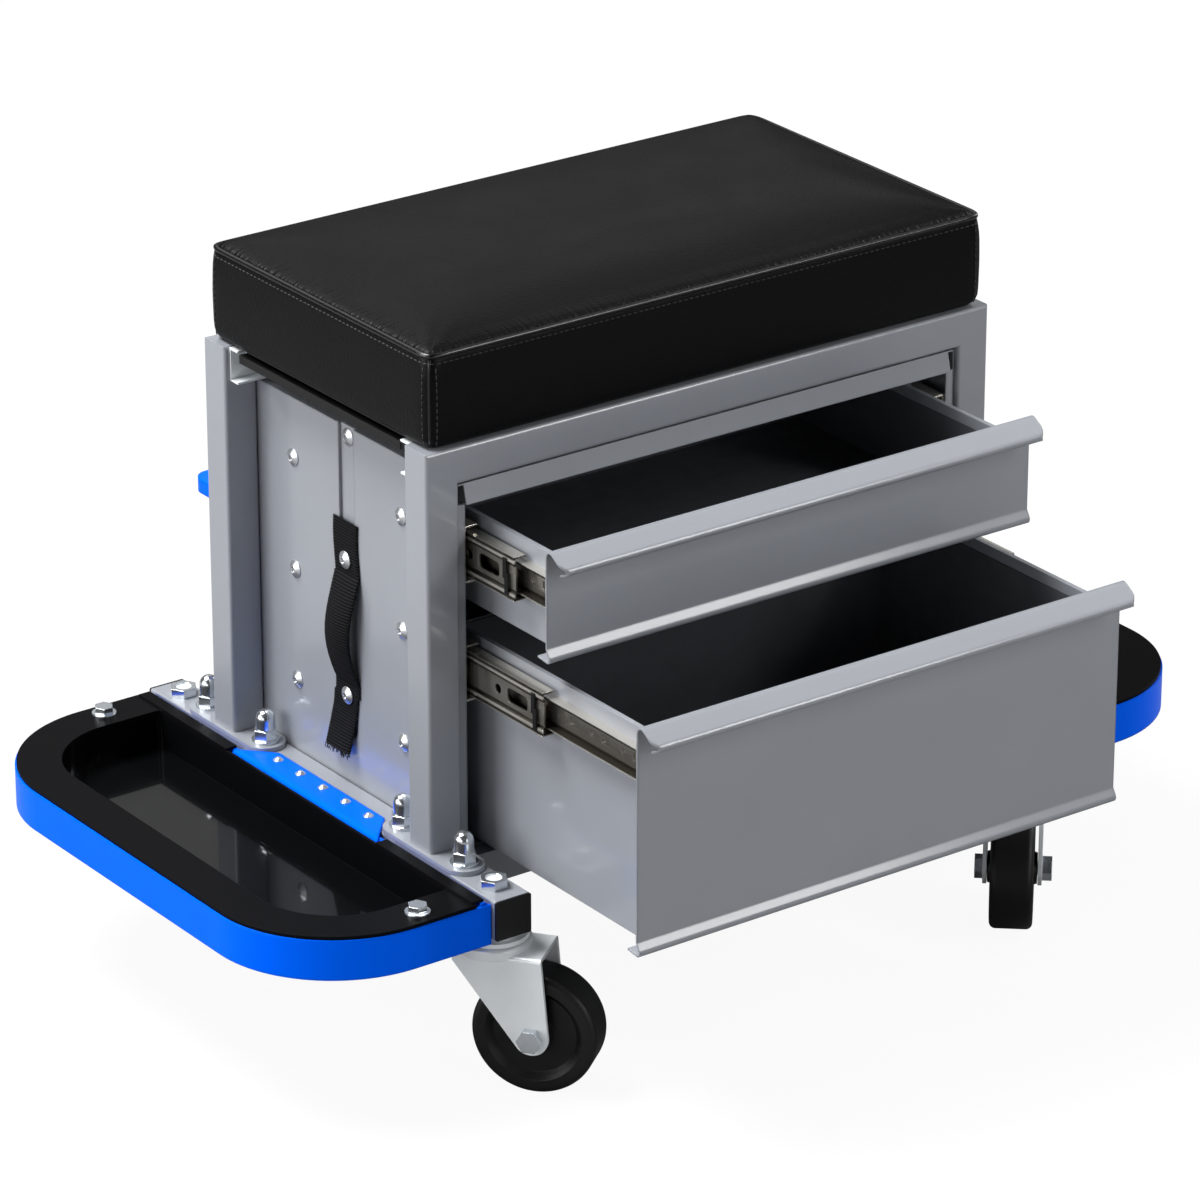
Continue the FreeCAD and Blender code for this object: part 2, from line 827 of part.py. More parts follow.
# Caster stems with their fixed races, clamped through the cross tubes by thin nuts
raceTop = low
raceFoot = crownTop + s.raceGap
stem = new_body("CasterStem")
stemLoop = [
    (zero, forkTop - s.forkThick - s.raceGap - s.stemHeadTall),
    (s.stemHead, forkTop - s.forkThick - s.raceGap - s.stemHeadTall),
    (s.stemHead, forkTop - s.forkThick - s.raceGap),
    (s.stemRadius, forkTop - s.forkThick - s.raceGap),
    (s.stemRadius, raceFoot), (s.raceRadius, raceFoot), (s.raceRadius, raceTop - s.raceThick),
    (s.neckRadius, raceTop - s.raceThick), (s.neckRadius, raceTop),
    (s.stemRadius, raceTop), (s.stemRadius, baseTop + s.stemAbove), (zero, baseTop + s.stemAbove),
]
revolve(stem, sketch_on(stem, "XZ", [stemLoop]))
casterSpots = {
    "front_left": (-1, -1, s.frontLeftAngle),
    "front_right": (1, -1, s.frontRightAngle),
    "rear_left": (-1, 1, s.rearLeftAngle),
    "rear_right": (1, 1, s.rearRightAngle),
}
stemSpots = [spot(x * baseMiddle, y * casterReach, zero) for x, y, turn in casterSpots.values()]
node("caster_stems", copies(stem, stemSpots))
stemNut = cut(hexagon(s.stemHex, zero, zero, zero, s.stemHexTall),
              [rod(s.stemRadius + s.threadGap, zero, zero, -s.overrun, s.stemHexTall + s.overrun * 2)])
nutPlaces = [spot(x * baseMiddle, y * casterReach, baseTop) for x, y, turn in casterSpots.values()]
node("stem_nuts", copies(stemNut, nutPlaces))

# Swivel fork: a pressed crown and two tapered legs, seen with its trail along +X
forkOuter = s.forkHalfGap + s.forkThick
bossShares = ((0.99, 0.13), (0.0, -1.0), (-0.79, -0.62))


def leg_loop():
    right = (s.casterTrail + s.forkBoss * bossShares[0][0], s.wheelRadius + s.forkBoss * bossShares[0][1])
    down = (s.casterTrail, s.wheelRadius - s.forkBoss, s.forkBoss, "right")
    left = (s.casterTrail + s.forkBoss * bossShares[2][0], s.wheelRadius + s.forkBoss * bossShares[2][1],
            s.forkBoss, "right")
    return [(-s.forkBack, forkTop), (s.forkFront, forkTop), right, down, left,
            (-s.forkBack, forkTop - s.forkShoulder)]


fork = new_body("Fork")
pad(fork, sketch_on(fork, "XY", [rectangle(-s.forkBack, -forkOuter, s.forkFront, forkOuter)],
                    level=forkTop - s.forkThick), s.forkThick)
axleHole = [(s.casterTrail, s.wheelRadius, s.axleRadius + s.axleGap)]
pad(fork, sketch_on(fork, "XZ", [leg_loop()], axleHole, level=s.forkHalfGap), s.forkThick)
legs = pad(fork, sketch_on(fork, "XZ", [leg_loop()], axleHole, level=-forkOuter), s.forkThick)


def bend(edge):
    # The two long outer edges where the crown turns down into the legs.
    bounds = edge.BoundBox
    flat = abs(bounds.ZMin - float(forkTop)) < float(s.plugGap) and bounds.ZLength < float(s.plugGap)
    outermost = abs(abs(bounds.YMin) - float(forkOuter)) < float(s.plugGap)
    return flat and outermost and bounds.XLength > float(s.forkFront)


bent = fillet(fork, legs, s.forkThick, bend)
crownLoop = [
    (s.stemRadius + s.stemFit, forkTop - s.forkThick), (s.crownRadius, forkTop - s.forkThick),
    (s.crownRadius, crownTop - s.crownRound),
    (s.crownRadius - s.crownRound, crownTop, s.crownRound, "left"),
    (s.stemRadius + s.stemFit, crownTop),
]
revolve(fork, sketch_on(fork, "XZ", [crownLoop]))
pocket(fork, sketch_on(fork, "XY", circles=[(zero, zero, s.stemRadius + s.stemFit)], level=crownTop),
       crownTop - forkTop + s.forkThick)

# Wheel: solid tyre with rounded shoulders on a stepped disc and hub
wheel = new_body("Wheel")


def wheel_half(way):
    return [
        (way * s.hubHalf, s.hubRadius), (way * s.discHalf, s.hubRadius + s.treadRound / 2),
        (way * s.discHalf, s.discRadius), (way * (s.wheelHalf - s.treadRound / 2), s.rimInner),
        (way * s.wheelHalf, s.rimInner + s.treadRound / 2),
    ]


tread = s.wheelHalf - s.treadRound
bore = s.axleRadius + s.axleGap
wheelLoop = [(-s.hubHalf, bore), (s.hubHalf, bore)] + wheel_half(1) + [
    (s.wheelHalf, s.wheelRadius - s.treadRound), (tread, s.wheelRadius, s.treadRound, "left"),
    (-tread, s.wheelRadius), (-s.wheelHalf, s.wheelRadius - s.treadRound, s.treadRound, "left"),
] + wheel_half(-1)[::-1]
revolve(wheel, sketch_on(wheel, "YZ", [wheelLoop]), "H_Axis")

# Axle: hex bolt through both legs and its nut
axle = fuse([
    hexagon(s.axleHex, zero, -forkOuter - s.axleHeadTall, zero, s.axleHeadTall, "y"),
    rod(s.axleRadius, zero, -forkOuter, zero, forkOuter * 2 + s.axleNutTall, "y"),
])
axleNut = cut(hexagon(s.axleHex, zero, forkOuter, zero, s.axleNutTall, "y"),
              [rod(s.axleRadius + s.threadGap, zero, forkOuter - s.overrun, zero,
                   s.axleNutTall + s.overrun * 2, "y")])
axleSet = group([axle, axleNut])

for name, (x, y, turn) in casterSpots.items():
    home = spot(x * baseMiddle, y * casterReach + midY, zero, angle=float(turn))
    hub = home.multiply(spot(s.casterTrail, zero, s.wheelRadius))
    for label, source, where in (("_fork", fork, home), ("_wheel", wheel, hub), ("_axle", axleSet, hub)):
        doc.recompute()
        item = doc.addObject("Part::Feature", "Caster")
        item.Shape = source.Shape.copy()
        item.Label = name + label
        item.Placement = where
        nodes[item.Label] = item

# Cabinet sides: sheet between the posts with a front flange and a pressed channel in the middle
panelOut = cabinetHalf + s.sheetThick
stripFoot = panelTop - s.stripTall
panel = new_body("SidePanel")
pad(panel, sketch_on(panel, "XY", [rectangle(-panelOut, -panelFront, -cabinetHalf, panelFront)],
                     level=railTop), panelTop - railTop)
pad(panel, sketch_on(panel, "XY", [rectangle(-panelOut, -panelFront, -slideWall, -panelFront + s.sheetThick)],
                     level=railTop), stripFoot - s.stripGap - railTop)


def channel_loop(reach):
    end = channelFoot + s.channelHalf
    return [(reach, panelTop), (-reach, panelTop), (-reach, end),
            (zero, end - reach, reach, "left"), (reach, end, reach, "left")]


pad(panel, sketch_on(panel, "YZ", [channel_loop(s.channelHalf + s.sheetThick)],
                     level=-cabinetHalf + s.channelDeep), s.channelDeep, back=True)
pocket(panel, sketch_on(panel, "YZ", [channel_loop(s.channelHalf)], level=-panelOut + s.channelDeep),
       s.channelDeep)
rivetPlaces = [(y * rivetReach, z) for y in leftRight for z in (rivetLow, rivetMiddle, rivetHigh)]
channelRivets = [(zero, rivetCrown)]
strapRivets = [(zero, strapRivetLow), (zero, strapRivetHigh)]
holeSize = s.rivetShank + s.boreGap / 2
panelHoles = [(y, z, holeSize) for y, z in rivetPlaces + channelRivets]
throughPanel = s.channelDeep + s.sheetThick + s.overrun * 2
pocket(panel, sketch_on(panel, "YZ", circles=panelHoles, level=-cabinetHalf + s.channelDeep + s.overrun),
       throughPanel)
strapHoles = [rod(holeSize, -panelOut - s.overrun, y, z, throughPanel, "x") for y, z in strapRivets]
node("cabinet_left_side", cut(panel, strapHoles))
node("cabinet_right_side", mirrored(panel, yzNormal))

# Cabinet shell: top with its leaning front strip, back and floor, folded from one sheet
shellHalf = cabinetHalf
strip = new_body("FrontStrip")
stripLoop = [(-panelFront, panelTop), (-panelFront - s.stripLean, stripFoot),
             (-panelFront - s.stripLean + s.sheetThick, stripFoot), (-panelFront + s.sheetThick, panelTop)]
pad(strip, sketch_on(strip, "YZ", [stripLoop]), stripHalf * 2, midplane=True)
shell = fuse([
    box(-shellHalf, -panelFront, panelTop - s.sheetThick, shellHalf, panelFront, panelTop),
    strip,
    box(-shellHalf, panelFront - s.sheetThick, railTop, shellHalf, panelFront, panelTop),
    box(-shellHalf, -floorFront, railTop, shellHalf, panelFront, railTop + s.sheetThick),
    box(-shellHalf, -floorFront, railTop, -shellHalf + s.sheetThick, panelFront,
        railTop + s.floorFlange),
    box(shellHalf - s.sheetThick, -floorFront, railTop, shellHalf, panelFront,
        railTop + s.floorFlange),
])
channelSlots = [box(x * cabinetHalf - s.channelDeep - s.softGap, -s.channelHalf - s.sheetThick - s.softGap,
                    panelTop - s.sheetThick - s.overrun, x * cabinetHalf + s.channelDeep + s.softGap,
                    s.channelHalf + s.sheetThick + s.softGap, panelTop + s.overrun) for x in leftRight]
node("cabinet_shell", cut(shell, channelSlots))

# Hat shaped uprights on the side panels that carry the slides
upright = new_body("Upright")
crownIn = cabinetHalf - s.sheetThick
brimOut = slideWall + s.sheetThick
brimEnd = s.crownHalf + s.brimWide
uprightLoop = [
    (-cabinetHalf, -s.crownHalf), (-brimOut, -s.crownHalf), (-brimOut, -brimEnd),
    (-slideWall, -brimEnd), (-slideWall, -s.crownHalf + s.sheetThick), (-crownIn, -s.crownHalf + s.sheetThick),
    (-crownIn, s.crownHalf - s.sheetThick), (-slideWall, s.crownHalf - s.sheetThick), (-slideWall, brimEnd),
    (-brimOut, brimEnd), (-brimOut, s.crownHalf), (-cabinetHalf, s.crownHalf),
]
uprightFoot = railTop + s.floorFlange + s.uprightGap
uprightTop = panelTop - s.sheetThick - s.uprightGap
pad(upright, sketch_on(upright, "XY", [uprightLoop], level=uprightFoot), uprightTop - uprightFoot)
uprightHoles = [(zero, z, holeSize) for z in (rivetLow, rivetMiddle, rivetHigh)]
pocket(upright, sketch_on(upright, "YZ", circles=uprightHoles, level=-crownIn + s.overrun / 2), s.overrun * 2)
leftUprights = copies(upright, [spot(zero, y * rivetReach, zero) for y in leftRight])
node("slide_uprights", group([leftUprights, mirrored(leftUprights, yzNormal)]))

# Rivets: a domed head with a dimple, a shank and a tail behind the sheet, axis along X
rivet = new_body("Rivet")


def rivet_loop(grip):
    crown = s.rivetDimple + s.sheetThick / 2
    return [
        (zero, s.rivetTall - s.sheetThick), (s.rivetDimple, s.rivetTall - s.sheetThick),
        (s.rivetDimple, s.rivetTall), (crown, s.rivetTall), (s.rivetHead, s.sheetThick / 2),
        (s.rivetHead, zero), (s.rivetShank, zero), (s.rivetShank, -grip),
        (s.rivetTail, -grip), (s.rivetTail - s.sheetThick, -grip - s.sheetThick * 2),
        (zero, -grip - s.sheetThick * 2),
    ]


revolve(rivet, sketch_on(rivet, "XZ", [rivet_loop(s.sheetThick * 2)]))
across = Vector(0, 1, 0)
rivetSpots = []
for x in leftRight:
    for y, z in rivetPlaces:
        rivetSpots.append(spot(x * panelOut, y, z, across, x * 90))
    for y, z in channelRivets:
        rivetSpots.append(spot(x * (panelOut - s.channelDeep), y, z, across, x * 90))
shortRivets = copies(rivet, rivetSpots)

# Webbing strap on the left side, riveted twice, bowed between the rivets and free below
strap = new_body("Strap")
wall = panelOut
upper = strapRivetHigh - s.strapFlat
lower = strapRivetLow + s.strapFlat
under = strapRivetLow - s.strapFlat
bow = (upper - lower) / 2
bowRound = (bow * bow + s.strapBulge * s.strapBulge) / (s.strapBulge * 2)
tail = under - strapFoot
tailRound = (tail * tail + s.strapTail * s.strapTail) / (s.strapTail * 2)
mid = (upper + lower) / 2
strapLoop = [
    (-wall, strapTop), (-wall - s.strapThick, strapTop), (-wall - s.strapThick, upper),
    (-wall - s.strapThick - s.strapBulge, mid, bowRound, "left"),
    (-wall - s.strapThick, lower, bowRound, "left"), (-wall - s.strapThick, under),
    (-wall - s.strapThick - s.strapTail, strapFoot, tailRound, "right"),
    (-wall - s.strapTail, strapFoot), (-wall, under, tailRound, "left"), (-wall, lower),
    (-wall - s.strapBulge, mid, bowRound, "right"), (-wall, upper, bowRound, "right"),
]
pad(strap, sketch_on(strap, "XZ", [strapLoop]), s.strapWide, midplane=True)
pocket(strap, sketch_on(strap, "YZ", circles=[(y, z, holeSize) for y, z in strapRivets], level=-wall),
       s.strapThick, back=False)
node("webbing_strap", strap)
longRivet = new_body("StrapRivet")
revolve(longRivet, sketch_on(longRivet, "XZ", [rivet_loop(s.strapThick + s.channelDeep + s.sheetThick)]))
strapSpots = [spot(-panelOut - s.strapThick, y, z, across, -90) for y, z in strapRivets]
node("panel_rivets", group([shortRivets, copies(longRivet, strapSpots)]))

# Seat board on the two top rails, screwed up through them
boardHoles = [(x * screwReach, y * postMiddle, s.screwRadius + s.boreGap / 2)
              for x in leftRight for y in leftRight]
board = new_body("SeatBoard")
boardX = boardWide / 2
boardY = boardDeep / 2
pad(board, sketch_on(board, "XY", [rounded(-boardX, -boardY, boardX, boardY, s.cushionRound / 2)],
                     boardHoles, level=frameTop), s.boardThick)
node("seat_board", board)
screw = fuse([
    rod(s.screwHead, zero, zero, -s.screwHeadTall, s.screwHeadTall),
    rod(s.screwRadius, zero, zero, zero, s.postSide + s.screwInBoard),
])
screwSpots = [spot(x * screwReach, y * postMiddle, frameTop - s.postSide)
              for x in leftRight for y in leftRight]
node("seat_screws", copies(screw, screwSpots))


# Cushion: drawn in at the foot and the top seam, fuller between, and crowned above the seam
def cushion_ring(grow, height, corner):
    x = float(cushionWide) / 2 + grow
    y = float(cushionDeep) / 2 + grow
    bulge = bulgeShare * float(s.cushionRound)
    edges = []
    tips = [(x - corner, -y), (x, -y + corner), (x, y - corner), (x - corner, y),
            (-x + corner, y), (-x, y - corner), (-x, -y + corner), (-x + corner, -y)]
    inset = corner * (1 - math.sqrt(0.5))
    mids = [(x - inset, -y + inset), (x + bulge, 0), (x - inset, y - inset), (0, y + bulge),
            (-x + inset, y - inset), (-x - bulge, 0), (-x + inset, -y + inset), (0, -y - bulge)]
    for i, middle in enumerate(mids):
        start = Vector(*tips[i], height)
        end = Vector(*tips[(i + 1) % len(tips)], height)
        edges.append(Part.Arc(start, Vector(*middle, height), end).toShape())
    return Part.Wire(edges)


bulgeShare = 0.12
seamShares = ((0.0, -0.18), (0.16, 0.0), (0.5, 0.1), (0.84, 0.0), (1.0, -0.16))
crownShares = ((0.0, -0.16), (0.42, -0.6), (0.74, -1.9), (0.94, -4.4), (1.0, -7.2))
soleZ = float(frameTop + s.softGap)
wallTall = float(cushionSeam) - soleZ
corner = float(s.cushionRound)
walls = [cushion_ring(corner * grow, soleZ + wallTall * up, corner) for up, grow in seamShares]
tops = []
for up, grow in crownShares:
    tops.append(cushion_ring(corner * grow, float(cushionSeam) + float(s.cushionCrown) * up, corner))
soft = Part.makeLoft(walls, True, False).fuse(Part.makeLoft(tops, True, False)).removeSplitter()
pocketBox = Part.makeBox(
    float(boardWide + s.softGap * 2), float(boardDeep + s.softGap * 2),
    float(s.boardThick + s.softGap),
    Vector(float(-boardX - s.softGap), float(-boardY - s.softGap), float(frameTop)))
cushion = doc.addObject("Part::Feature", "Cushion")
cushion.Shape = soft.cut(pocketBox)
node("seat_cushion", cushion)


# A bent sheet in section: a path of runs and bends with half the thickness on either side
class Path:
    def __init__(self, x, y, heading):
        self.x = as_size(x)
        self.y = as_size(y)
        self.heading = as_size(heading)
        self.steps = []

    def aside(self, offset):
        angle = self.heading
        return self.x - offset * sine(angle), self.y + offset * cosine(angle)

    def mark(self, radius=None, way=None):
        self.steps.append((self.x, self.y, self.heading, radius, way))

    def run(self, length):
        self.x = self.x + length * cosine(self.heading)
        self.y = self.y + length * sine(self.heading)
        self.mark()

    def bend(self, radius, angle, way):
        sign = 1 if way == "left" else -1
        middle = self.aside(radius * sign)
        self.heading = self.heading + angle * sign
        self.x = middle[0] + radius * sign * sine(self.heading)
        self.y = middle[1] - radius * sign * cosine(self.heading)
        self.mark(radius, way)

    def loop(self, thick):
        sides = []
        for sign in leftRight:
            points = []
            for x, y, heading, radius, way in self.steps:
                point = (x - thick / 2 * sign * sine(heading), y + thick / 2 * sign * cosine(heading))
                if radius is not None:
                    inner = sign if way == "left" else -sign
                    point = point + (radius - thick / 2 * inner, way)
                points.append(point)
            sides.append(points)
        right, left = sides
        back = [left[-1][:2]]
        flip = {"left": "right", "right": "left"}
        for i in range(len(left) - 1, 0, -1):
            point = left[i - 1][:2]
            if left[i][2:]:
                point = point + (left[i][2], flip[left[i][3]])
            back.append(point)
        return right + back


# Section of a drawer front: skirt, bead, flare, face, ridge, sloped handle and curled lip
upward = as_size(90)
rearward = as_size(180)


def front_loop(face, ridge, skirt):
    thick = s.frontThick

    def draw(x, y, faceRun):
        path = Path(x, y, rearward + s.skirtLeanAngle)
        path.mark()
        path.run(s.skirtRun)
        beadZ = path.aside(-(s.beadRound - thick / 2))[1]
        path.bend(s.beadRound - thick / 2, upward + s.skirtLeanAngle + s.flareLeanAngle, "right")
        path.run(s.flareRun)
        path.bend(s.faceBend, s.flareLeanAngle, "left")
        foot = (path.x, path.y)
        path.run(faceRun)
        path.bend(s.ridgeRound - thick / 2, (upward + s.lipSlopeAngle) / 2, "left")
        path.bend(s.ridgeRound - thick / 2, (upward + s.lipSlopeAngle) / 2, "left")
        path.run(s.lipRun)
        path.bend(s.curlRound - thick / 2, (rearward - s.lipSlopeAngle + s.curlTurnAngle) / 2, "left")
        path.bend(s.curlRound - thick / 2, (rearward - s.lipSlopeAngle + s.curlTurnAngle) / 2, "left")
        return path, beadZ, foot

    trial, beadZ, foot = draw(zero, zero, s.lipRun)
    startX = thick / 2 - face - foot[0]
    startY = skirt + s.beadRound - beadZ
    path = draw(startX, startY, ridge - s.ridgeRound - startY - foot[1])[0]
    return path.loop(thick)


def drawer(name, ridge, skirt, opened, slideMid, middleOut):
    face = closedFront + opened
    frontBody = new_body("DrawerFront")
    pad(frontBody, sketch_on(frontBody, "YZ", [front_loop(face, ridge, skirt)]), frontWide, midplane=True)
    tip = -face - handleReach
    turned = tip + s.handleRound
    corners = []
    for way, side in ((-1, "right"), (1, "left")):
        edge = way * frontWide / 2
        inner = edge - way * s.handleRound
        beyond = edge + way * s.overrun
        corners.append([(edge, turned, s.handleRound, side), (beyond, turned), (beyond, tip - s.overrun),
                        (inner, tip - s.overrun), (inner, tip)])
    pocket(frontBody, sketch_on(frontBody, "XY", corners, level=ridge + s.overrun), s.lipRun + s.overrun * 2)
    node(name + "_drawer_front", frontBody)

    # open box behind the front, its side walls hemmed at the top
    boxFoot = skirt + s.boxAboveSkirt
    boxTop = ridge - s.sideBelowRidge
    near = -face + s.frontThick
    wide = boxHalf
    thin = s.sheetThick
    hem = s.hemThick
    hemFoot = boxTop - s.hemTall
    ring = [
        (-wide, boxFoot), (wide, boxFoot), (wide, boxTop), (wide - hem, boxTop), (wide - hem, hemFoot),
        (wide - thin, hemFoot), (wide - thin, boxFoot + thin), (-wide + thin, boxFoot + thin),
        (-wide + thin, hemFoot), (-wide + hem, hemFoot), (-wide + hem, boxTop), (-wide, boxTop),
    ]
    boxBody = new_body("DrawerBox")
    pad(boxBody, sketch_on(boxBody, "XZ", [ring], level=-near), boxDeep, back=True)
    endWall = rectangle(-wide + thin, boxFoot, wide - thin, hemFoot)
    pad(boxBody, sketch_on(boxBody, "XZ", [endWall], level=-near), thin, back=True)
    pad(boxBody, sketch_on(boxBody, "XZ", [endWall], level=-near - boxDeep), thin)
    node(name + "_drawer_box", boxBody)

    # mat that lines the floor and the walls
    gap = s.linerGap
    inside = wide - thin - gap
    front = near + thin + gap
    rear = near + boxDeep - thin - gap
    mat = new_body("Liner")
    pad(mat, sketch_on(mat, "XY", [rectangle(-inside, front, inside, rear)], level=boxFoot + thin),
        hemFoot - gap - boxFoot - thin)
    hollowed = rectangle(-inside + s.linerThick, front + s.linerThick, inside - s.linerThick, rear - s.linerThick)
    pocket(mat, sketch_on(mat, "XY", [hollowed], level=hemFoot), hemFoot - boxFoot - thin - s.linerThick)
    node(name + "_drawer_liner", mat)

    # slide member on the drawer
    flange = wide + s.innerFlange
    metal = s.slideSheet
    reach = s.innerHalf
    innerLoop = [
        (wide, slideMid - reach), (flange, slideMid - reach), (flange, slideMid - reach + metal),
        (wide + metal, slideMid - reach + metal), (wide + metal, slideMid + reach - metal),
        (flange, slideMid + reach - metal), (flange, slideMid + reach), (wide, slideMid + reach),
    ]
    innerBody = new_body("DrawerMember")
    pad(innerBody, sketch_on(innerBody, "XZ", [innerLoop], level=slideFront + opened), slideLong, back=True)
    tip = -slideFront - opened
    slots = []
    holes = []
    for step in range(3):
        start = tip + s.innerInset + step * s.slotStep / 2
        slots.append(rounded(start, slideMid - s.innerSlotTall / 2, start + s.innerSlotLong,
                             slideMid + s.innerSlotTall / 2, s.innerSlotTall / 3))
        holes.append((start + s.innerSlotLong + s.innerInset, slideMid, s.innerHole))
    pocket(innerBody, sketch_on(innerBody, "YZ", slots, holes, level=wide + metal + s.overrun / 2), s.overrun)
    node(name + "_drawer_members", group([innerBody, mirrored(innerBody, yzNormal)]))

    # slide member between the two others, slotted, with a clip near its front end
    web = slideWall - s.middleWeb
    edge = web - s.middleFlange
    reach = s.middleHalf
    press = s.pressHalf
    sunk = s.pressHalf - s.pressDeep
    floor = web - s.pressDeep
    middleLoop = [
        (web, slideMid - reach), (web, slideMid - press), (floor, slideMid - sunk), (floor, slideMid + sunk),
        (web, slideMid + press), (web, slideMid + reach), (edge, slideMid + reach),
        (edge, slideMid + reach - metal), (web - metal, slideMid + reach - metal),
        (web - metal, slideMid + press), (floor - metal, slideMid + sunk), (floor - metal, slideMid - sunk),
        (web - metal, slideMid - press), (web - metal, slideMid - reach + metal),
        (edge, slideMid - reach + metal), (edge, slideMid - reach),
    ]
    tip = slideFront - s.middleInset + middleOut
    middleBody = new_body("MiddleMember")
    pad(middleBody, sketch_on(middleBody, "XZ", [middleLoop], level=tip), slideLong, back=True)
    slots = []
    holes = []
    for step in range(3):
        start = -tip + s.slotInset + step * s.slotStep
        slots.append(rounded(start, slideMid - s.slotTall / 2, start + s.slotLong, slideMid + s.slotTall / 2,
                             s.slotTall / 3))
        holes.append((start + s.slotLong + s.holeFromSlot, slideMid, s.holeRadius))
    pocket(middleBody, sketch_on(middleBody, "YZ", slots, holes, level=web + s.overrun / 2), s.overrun * 2)
    node(name + "_slide_middles", group([middleBody, mirrored(middleBody, yzNormal)]))
    clip = new_body("Clip")
    start = -tip + s.clipInset
    middle = start + s.clipLong / 2
    end = start + s.clipLong
    tall = s.clipTall / 2
    arm = s.clipLong / 3
    clipLoop = [
        (start, slideMid - tall), (middle + arm / 2, slideMid - tall), (middle + arm / 2, slideMid - arm),
        (end, slideMid - arm), (end, slideMid + tall), (middle - arm / 2, slideMid + tall),
        (middle - arm / 2, slideMid + arm), (start, slideMid + arm),
    ]
    pad(clip, sketch_on(clip, "YZ", [clipLoop], level=web), s.clipThick)
    node(name + "_slide_clips", group([clip, mirrored(clip, yzNormal)]))

    # ball cages above and below, at the rear towards the cabinet and at the front towards the drawer
    races = (
        (s.outerHalf - metal, s.middleHalf, web - s.middleFlange / 2, -tip + slideLong - s.cageInset - s.cageLong),
        (s.middleHalf - metal, s.innerHalf, wide + s.innerFlange - s.innerFlange / 3, -tip + s.cageInset),
    )
    cages = []
    for high, small, x, start in races:
        radius = (high - small) / 2 - s.ballGap
        for way in leftRight:
            z = slideMid + way * (high + small) / 2
            strip = box(x - radius, start, z - s.cageHalf, x + radius, start + s.cageLong, z + s.cageHalf)
            balls = [ball(radius, x, start + s.cageLong / 2 + step * s.ballPitch, z) for step in leftRight]
            cages.append(fuse([strip] + balls))
    row = group(cages)
    node(name + "_slide_cages", group([row, mirrored(row, yzNormal)]))

    # slide member that stays on the cabinet
    reach = s.outerHalf
    edge = slideWall - s.outerFlange
    outerLoop = [
        (slideWall, slideMid - reach), (slideWall, slideMid + reach), (edge, slideMid + reach),
        (edge, slideMid + reach - metal), (slideWall - metal, slideMid + reach - metal),
        (slideWall - metal, slideMid - reach + metal), (edge, slideMid - reach + metal), (edge, slideMid - reach),
    ]
    outerBody = new_body("CabinetMember")
    pad(outerBody, sketch_on(outerBody, "XZ", [outerLoop], level=slideFront - s.stripGap), slideLong, back=True)
    return [outerBody, mirrored(outerBody, yzNormal)]


fixedMembers = drawer("top", topRidge, topSkirt, s.topOpen, topSlideMid, s.topMiddleOut)
fixedMembers += drawer("bottom", bottomRidge, bottomSkirt, s.bottomOpen, bottomSlideMid, s.bottomMiddleOut)
node("cabinet_slide_members", group(fixedMembers))

# Runners under the seat, on the inner faces of the top rails
runnerIn = railIn - s.runnerFlange
runnerFoot = runnerTop - s.runnerTall
metal = s.runnerSheet
runner = new_body("Runner")
runnerLoop = [
    (railIn, runnerFoot), (railIn, runnerTop), (runnerIn, runnerTop), (runnerIn, runnerTop - metal),
    (railIn - metal, runnerTop - metal), (railIn - metal, runnerFoot + metal), (runnerIn, runnerFoot + metal),
    (runnerIn, runnerFoot),
]
pad(runner, sketch_on(runner, "YZ", [runnerLoop], level=-runnerFront), runnerFront + runnerBack)
node("side_tray_rails", group([runner, mirrored(runner, xzNormal)]))

# Tray under the seat: folded pan with a pull lip, and the members that ride in the runners
pan = new_body("SideTray")
trayLong = trayOuter + runnerBack
pad(pan, sketch_on(pan, "XY", [rectangle(-trayOuter, -trayHalf, runnerBack, trayHalf)],
                   level=trayFloor), trayWallTop - trayFloor)
thin = s.traySheet
insideLoop = rectangle(-trayOuter + thin, -trayHalf + thin, runnerBack - thin, trayHalf - thin)
pocket(pan, sketch_on(pan, "XY", [insideLoop], level=trayWallTop), trayWallTop - trayFloor - thin)
lipLoop = [
    (-trayOuter, trayWallTop), (-pullReach, trayWallTop), (-pullReach, pullFoot),
    (-pullReach + thin, pullFoot), (-pullReach + thin, trayWallTop - thin),
    (-trayOuter, trayWallTop - thin),
]
pad(pan, sketch_on(pan, "XZ", [lipLoop]), pullHalf * 2, midplane=True)
node("side_tray", pan)
slider = new_body("TrayMember")
sliderFoot = runnerFoot + metal + s.runnerGap
sliderTop = runnerTop - metal - s.runnerGap
sliderLoop = [
    (trayHalf, sliderFoot), (sliderOut, sliderFoot), (sliderOut, sliderFoot + metal),
    (trayHalf + metal, sliderFoot + metal), (trayHalf + metal, sliderTop - metal),
    (sliderOut, sliderTop - metal), (sliderOut, sliderTop), (trayHalf, sliderTop),
]
pad(slider, sketch_on(slider, "YZ", [sliderLoop], level=-trayOuter + metal), trayLong - metal * 2)
node("side_tray_members", group([slider, mirrored(slider, xzNormal)]))

